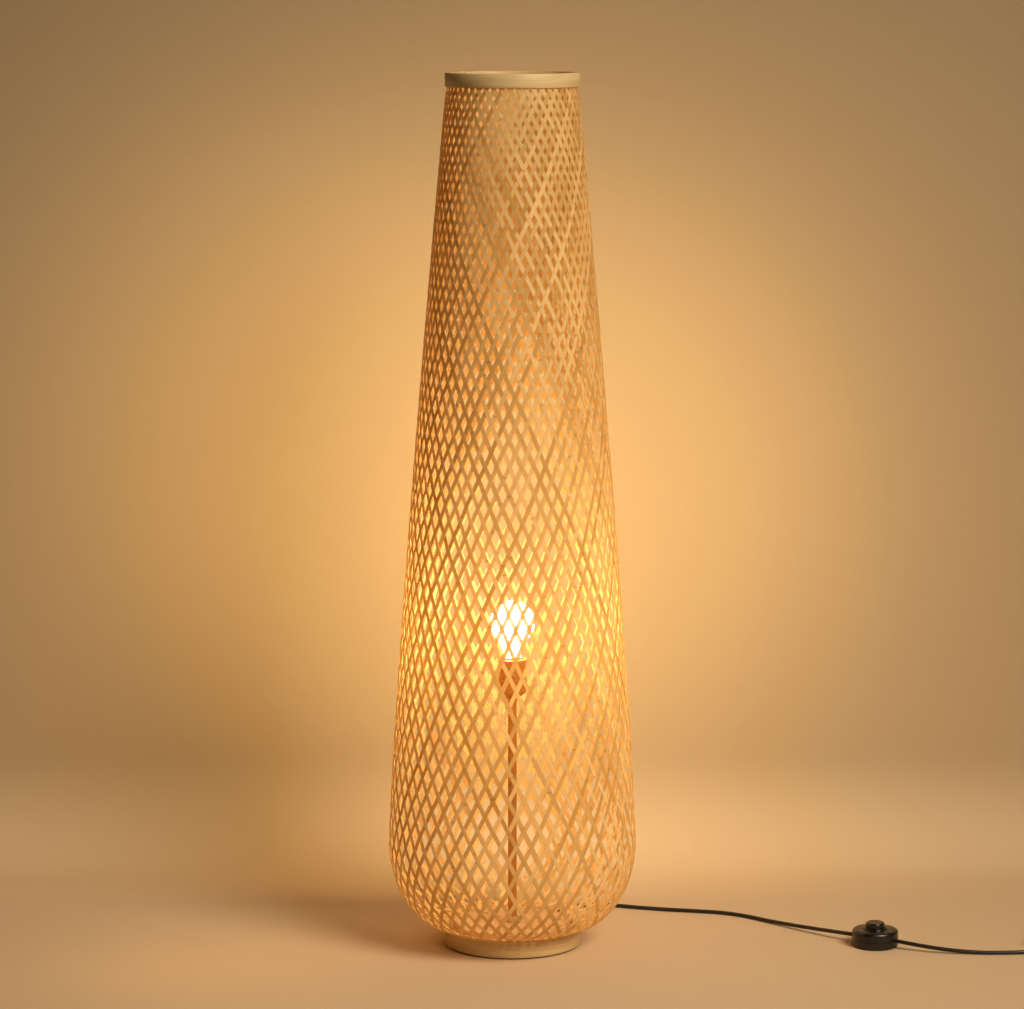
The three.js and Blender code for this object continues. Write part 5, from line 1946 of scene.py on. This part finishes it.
@dataclass
class Fittings:
    """What is moulded or strapped on the flex: its gland and the tie round the coil."""

    palette: Palette
    gland_height: float = 0.0075
    gland_azimuth: float = 70.0
    gland_inner: float = 0.083
    gland_seat: float = 0.0953
    gland_radius: float = 0.0043
    gland_tip: float = 0.0034
    flange: Spot = (0.006, 0.0015)
    flange_edges: Spot = (0.0004, 0.0005)
    reach: float = 0.024
    plain: float = 0.001
    tip_edge: Spot = (0.0004, 0.0008)
    ribs: int = 5
    rib_depth: float = 0.0006
    rib_shares: tuple[float, ...] = (0.0, 0.5, 0.6, 0.9)
    tie_width: float = 0.010
    tie_thickness: float = 0.0008
    tie_edge: float = 0.0002
    tie_corner: float = 0.0022
    tie_lap: Profile = ((0.004, 0.0), (0.006, 0.3))
    tie_rows: int = 90
    tie_step: float = 0.0006

    def gland(self) -> None:
        """Turns the ribbed gland and points it out of the base."""
        seat, root, tip = self.gland_seat, self.gland_radius, self.gland_tip
        flange, depth = self.flange
        inner_edge, outer_edge = self.flange_edges
        front = seat + depth
        end = front + self.reach
        profile = [(0.0, self.gland_inner), (root, self.gland_inner), (root, seat)]
        profile += [(flange - inner_edge, seat), (flange, seat + inner_edge)]
        profile += [(flange, front - outer_edge), (flange - outer_edge, front)]
        start, stop = (root, front + self.plain), (tip, end - self.plain)
        profile += ribbed(start, stop, self.ribs, self.rib_depth, self.rib_shares)
        across, along = self.tip_edge
        profile += [(tip, end - along), (tip - across, end), (0.0, end)]
        piece, look = Workshop.turn("flex_gland", profile, 40), self.palette.plastic
        turn = (0.0, math.radians(90.0), math.radians(self.gland_azimuth))
        Workshop.place(piece, (0.0, 0.0, self.gland_height), turn)
        Workshop.hand_over(piece, Body.LAMP, "black_plastic", look, ["cord_gland"])

    def tie(self) -> Piece:
        """Wraps a webbing strap round the coil's far side, its end lapped on top.

        Returns:
            The strap.
        """
        low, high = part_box("cord_tie")
        corner, thickness = self.tie_corner, self.tie_thickness
        inset = thickness / 2 + corner
        left, right, bottom, top = low.y + inset, high.y - inset, low.z + inset, high.z - inset
        line = arc((right, top), corner, 90.0, 0.0, 8)
        line += arc((right, bottom), corner, 0.0, -90.0, 8)
        line += arc((left, bottom), corner, -90.0, -180.0, 8)
        line += arc((left, top), corner, -180.0, -270.0, 8)
        for past, rise in self.tie_lap:
            line.append(((left + right) / 2 + past, top + corner + thickness * rise))
        places = np.array(line)
        lengths = np.r_[0.0, np.cumsum(np.hypot(*np.diff(places, axis=0).T))]
        piece = Workshop.lath(
            "coil_strap", self.tie_width, thickness, self.tie_edge, self.tie_rows
        )
        centre_x = (low.x + high.x) / 2

        def follow(at: np.ndarray) -> np.ndarray:
            """Gives the loop's Y and Z at lengths along it."""
            return np.c_[np.interp(at, lengths, places[:, 0]), np.interp(at, lengths, places[:, 1])]

        def rule(points: np.ndarray) -> np.ndarray:
            """Maps the straight lath to the strap's loop.

            Args:
                points: Length, width and thickness of each point.

            Returns:
                Their new X, Y and Z.
            """
            at = points[:, 0] * lengths[-1]
            ahead = follow(at + self.tie_step) - follow(at - self.tie_step)
            ahead /= np.maximum(np.hypot(*ahead.T), WELD)[:, None]
            outwards = np.c_[-ahead[:, 1], ahead[:, 0]]
            return np.c_[centre_x + points[:, 1], follow(at) + outwards * points[:, 2:]]

        map_strip(piece, lambda share: share * lengths[-1])
        Workshop.bend(piece, rule)
        Workshop.pick_up([piece])
        bpy.ops.object.mode_set(mode="EDIT")
        Workshop.face_outwards()
        look = self.palette.webbing
        return Workshop.hand_over(piece, Body.LAMP, "felt", look, ["cord_tie"], 50.0)

    def build(self) -> list[Piece]:
        """Builds the gland and the tie.

        Returns:
            The piece on the coil.
        """
        self.gland()
        strap = self.tie()
        LOG.info("gland and coil strap")
        return [strap]


@dataclass
class FootSwitch:
    """The round foot switch in the flex, with its sprung button."""

    palette: Palette
    heading: float = -33.0
    seam: float = 0.011
    wall: float = 0.002
    floor: float = 0.0022
    top_wall: float = 0.0025
    edge: float = 0.005
    pad_edge: float = 0.0004
    foot_edge: float = 0.0012
    seam_edge: float = 0.0002
    button_radius: float = 0.013
    button_edge: float = 0.0025
    button_flange: float = 0.0022
    button_wall: float = 0.004
    button_roof: float = 0.0035
    dish: float = 0.0005
    gap: float = 0.0003
    collar: Spot = (0.0168, 0.0012)
    collar_edges: Spot = (0.0004, 0.0008)
    fall: float = 0.0004
    cord_radius: float = 0.00275
    button_travel: float = 0.003
    spring_wire: float = 0.001
    wire_edge: float = 0.00029
    spring_turns: int = 6
    spring_rows_per_turn: int = 16

    def middle(self) -> tuple[float, float, float, float]:
        """Reads the switch's middle, radius and top from the frame.

        Returns:
            X, Y, radius and top height.
        """
        low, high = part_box("switch_cover")
        return (low.x + high.x) / 2, (low.y + high.y) / 2, (high.y - low.y) / 2, high.z

    def bore_for_cord(self, piece: Piece) -> None:
        """Drills the way of the flex through both sides.

        Args:
            piece: One of the shells, at the origin.
        """
        reach = self.middle()[2] * 1.2
        start, end = Vector((-reach, 0.0, self.seam)), Vector((reach, 0.0, self.seam))
        Workshop.bore(piece, start, end, self.cord_radius + self.gap)

    def finish(self, piece: Piece, node: str, slot: str, look: Look,
               body: Body = Body.LAMP) -> Piece:
        """Puts a piece in place and hands it over.

        Args:
            piece: The piece, made round the Z axis.
            node: The CAD node that it replaces.
            slot: The record's material slot.
            look: Its material.
            body: The body that it rides on.

        Returns:
            The piece.
        """
        x, y, _, _ = self.middle()
        Workshop.place(piece, (x, y, 0.0), (0.0, 0.0, math.radians(self.heading)))
        return Workshop.hand_over(piece, body, slot, look, [node], 32.0)

    def pad(self) -> Piece:
        """Turns the felt pad under the switch.

        Returns:
            The pad.
        """
        low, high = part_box("switch_foot")
        radius, edge = (high.y - low.y) / 2, self.pad_edge
        profile = [(0.0, low.z), (radius - edge, low.z), (radius, low.z + edge)]
        profile += [(radius, high.z), (0.0, high.z)]
        piece = Workshop.turn("switch_pad", profile, 64)
        return self.finish(piece, "switch_foot", "felt", self.palette.felt)

    def lower_shell(self) -> Piece:
        """Turns the lower shell.

        Returns:
            The shell.
        """
        radius, edge = self.middle()[2], self.foot_edge
        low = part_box("switch_base")[0].z
        rim = self.seam - self.gap / 2
        profile = [(0.0, low), (radius - edge, low)]
        profile += arc((radius - edge, low + edge), edge, -90, 0, 4)[1:]
        profile += [
            (radius, rim - self.seam_edge),
            (radius - self.seam_edge, rim),
            (radius - self.wall, rim),
            (radius - self.wall, low + self.floor),
            (0.0, low + self.floor),
        ]
        piece = Workshop.turn("switch_lower_shell", profile, 96)
        self.bore_for_cord(piece)
        return self.finish(piece, "switch_base", "black_plastic", self.palette.plastic)

    def upper_shell(self) -> Piece:
        """Turns the cover, with a low collar round the button.

        Returns:
            The cover.
        """
        _, _, radius, top = self.middle()
        low, under = self.seam + self.gap / 2, top - self.top_wall
        bore, inner = self.button_radius + self.gap, radius - self.wall
        collar, brim = self.collar[0], top + self.collar[1]
        inner_edge, outer_edge = self.collar_edges
        crown, edge = top - self.fall, self.edge
        bend = (radius - edge, crown - self.fall - edge)
        profile = [(bore, under), (bore, brim - inner_edge), (bore + inner_edge, brim)]
        profile += arc((collar - outer_edge, brim - outer_edge), outer_edge, 90, 0, 4)
        profile += [(collar + self.seam_edge, crown), (radius - edge, crown - self.fall)]
        profile += arc(bend, edge, 90, 0, 10)[1:]
        profile += [
            (radius, low + self.seam_edge),
            (radius - self.seam_edge, low),
            (inner, low),
            (inner, under - edge / 2),
            (inner - edge / 2, under),
            (bore, under),
        ]
        piece = Workshop.turn("switch_cover_shell", profile, 96)
        self.bore_for_cord(piece)
        return self.finish(piece, "switch_cover", "black_plastic", self.palette.plastic)

    def button(self) -> Piece:
        """Turns the button, its top a little dished.

        Returns:
            The button.
        """
        low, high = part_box("switch_button")
        radius, edge, dish = self.button_radius, self.button_edge, self.dish
        flange, flange_top = (high.y - low.y) / 2, low.z + self.button_flange
        hollow, roof = radius - self.button_wall, high.z - self.button_roof
        profile = [(0.0, high.z - dish), (radius * 0.4, high.z - dish * 0.7)]
        profile.append((radius - edge - self.foot_edge, high.z - dish * 0.2))
        profile += arc((radius - edge, high.z - edge), edge, 90, 0, 8)
        profile += [(radius, flange_top), (flange, flange_top), (flange, low.z)]
        profile += [(hollow, low.z), (hollow, roof), (0.0, roof)]
        piece, look = Workshop.turn("switch_push_button", profile, 72), self.palette.plastic
        return self.finish(piece, "switch_button", "black_plastic", look, Body.BUTTON)

    def spring(self) -> Piece:
        """Winds the return spring that the button presses, at its rest length.

        Returns:
            The spring.
        """
        low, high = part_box("switch_spring")
        x, y, _, _ = self.middle()
        wire = self.spring_wire
        radius = (high.x - low.x - wire) / 2
        height = high.z - low.z

        def wind(points: np.ndarray) -> np.ndarray:
            """Maps the straight lath to the helix.

            Args:
                points: Length, width and thickness of each point.

            Returns:
                Their new X, Y and Z.
            """
            angle = math.tau * self.spring_turns * points[:, 0]
            reach = radius - points[:, 1]
            rise = low.z + wire / 2 + (height - wire) * points[:, 0] + points[:, 2]
            return np.c_[x + reach * np.cos(angle), y + reach * np.sin(angle), rise]

        rows = self.spring_turns * self.spring_rows_per_turn + 1
        piece = Workshop.lath("switch_return_spring", wire, wire, self.wire_edge, rows)
        Workshop.bend(piece, wind)
        look = self.palette.bright_steel
        Workshop.hand_over(piece, Body.LAMP, "bright_steel", look, ["switch_spring"], 50.0)
        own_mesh(piece)
        return piece

    def build(self) -> list[Piece]:
        """Builds the shells, the button and its spring and dresses the inside.

        Returns:
            Every piece of the switch.
        """
        pieces = [self.pad(), self.lower_shell(), self.upper_shell(), self.button(), self.spring()]
        screws = ["switch_screw_1", "switch_screw_2"]
        live = ["switch_bridge", "switch_contact_1", "switch_contact_2"]
        dress(screws, self.palette.bright_steel)
        dress(["switch_block"], self.palette.plastic)
        dress(live, self.palette.brass)
        LOG.info("foot switch")
        return pieces + [NODES[name] for name in [*screws, "switch_block", *live]]


@dataclass
class Plug:
    """A plain two-pin plug that lies beside the coil."""

    palette: Palette
    neck_half: float = 0.006
    shoulder_share: float = 0.55
    shoulder_rows: int = 10
    edge: float = 0.0016
    relief_tip: float = 0.0036
    relief_edge: float = 0.0004
    relief_seat: float = 0.0002
    ribs: int = 5
    rib_depth: float = 0.0007
    rib_shares: tuple[float, ...] = (0.15, 0.55, 0.65, 0.95)
    pin_radius: float = 0.002
    pin_core: float = 0.0014
    sleeve_length: float = 0.010
    gap: float = 0.0003

    def lay(self, piece: Piece, along: str, node: str, slot: str, look: Look) -> Piece:
        """Lays a piece that was turned upright along a solid and hands it over.

        Args:
            piece: The piece, made upwards from the origin.
            along: The CAD node from whose near end it runs.
            node: The CAD node that it replaces.
            slot: The record's material slot.
            look: Its material.

        Returns:
            The piece.
        """
        low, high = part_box(along)
        at = ((low.x + high.x) / 2, low.y, (low.z + high.z) / 2)
        Workshop.place(piece, at, (math.radians(-90.0), 0.0, 0.0))
        return Workshop.hand_over(piece, Body.LAMP, slot, look, [node])

    def relief(self) -> Piece:
        """Turns the ribbed strain relief.

        Returns:
            The strain relief.
        """
        low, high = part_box("plug_relief")
        length, root = high.y - low.y, (high.x - low.x) / 2
        tip, edge = self.relief_tip, self.relief_edge
        profile = [(0.0, 0.0), (tip - edge, 0.0), (tip, edge)]
        end = (root, length)
        profile += ribbed((tip, 0.0), end, self.ribs, self.rib_depth, self.rib_shares)
        profile += [(root, length - self.relief_seat), (0.0, length)]
        piece, look = Workshop.turn("plug_strain_relief", profile, 40), self.palette.plastic
        return self.lay(piece, "plug_relief", "plug_relief", "black_plastic", look)

    def body(self) -> Piece:
        """Shapes the plug's body from its outline.

        Returns:
            The plug's body.
        """
        low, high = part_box("plug_body")
        half, length = (high.x - low.x) / 2, high.y - low.y
        shoulder = length * self.shoulder_share
        right = [(self.neck_half, 0.0)]
        for i in range(1, self.shoulder_rows + 1):
            t = i / self.shoulder_rows
            x = (1 - t) ** 2 * self.neck_half + (2 * t * (1 - t) + t * t) * half
            right.append((x, 2 * t * (1 - t) * shoulder / 2 + t * t * shoulder))
        right.append((half, length))
        outline = right + [(-x, y) for x, y in reversed(right)]
        piece = Workshop.slab("plug_moulding", outline, low.z, high.z, self.edge)
        Workshop.place(piece, ((low.x + high.x) / 2, low.y, 0.0))
        look = self.palette.plastic
        return Workshop.hand_over(piece, Body.LAMP, "black_plastic", look, ["plug_body"])

    def pin(self, number: int) -> list[Piece]:
        """Turns one pin and its sleeve.

        Args:
            number: The pin's number.

        Returns:
            Both.
        """
        node, cover_node = f"plug_pin_{number}", f"plug_sleeve_{number}"
        low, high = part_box(node)
        length, radius, core, gap = high.y - low.y, self.pin_radius, self.pin_core, self.gap
        end = self.sleeve_length
        profile = [(0.0, 0.0), (core, 0.0), (core, end + gap), (radius, end + gap)]
        profile += arc((0.0, length - radius), radius, 0, 90, 6)[:-1] + [(0.0, length)]
        pin = Workshop.turn(f"plug_prong_{number}", profile, 32)
        profile = [(core + gap, 0.0), (radius, 0.0), (radius, end - gap), (radius - gap, end)]
        profile += [(core + gap, end), (core + gap, 0.0)]
        cover = Workshop.turn(f"plug_prong_sleeve_{number}", profile, 32)
        return [
            self.lay(pin, node, node, "bright_steel", self.palette.bright_steel),
            self.lay(cover, node, cover_node, "black_plastic", self.palette.plastic),
        ]

    def build(self) -> list[Piece]:
        """Builds the whole plug.

        Returns:
            Every piece of the plug.
        """
        pieces = [self.relief(), self.body(), *self.pin(1), *self.pin(2)]
        LOG.info("plug")
        return pieces


def main() -> None:
    """Builds the lamp piece by piece and its studio."""
    logging.basicConfig(level=logging.INFO, format="%(name)s: %(message)s")
    palette = Palette(Bulb.globe_middle, Bulb.globe_radius)
    Studio().build()
    switch = FootSwitch(palette).build()
    coil_and_plug = [*Fittings(palette).build(), *Plug(palette).build()]
    Flex(palette).build(switch, coil_and_plug)
    WovenBody(palette).build()
    Frame(palette).build()
    WeightedBase(palette).build()
    Lampholder(palette).build()
    Bulb(palette).build()
    Workshop.put_down()


if __name__ == "__main__":
    main()
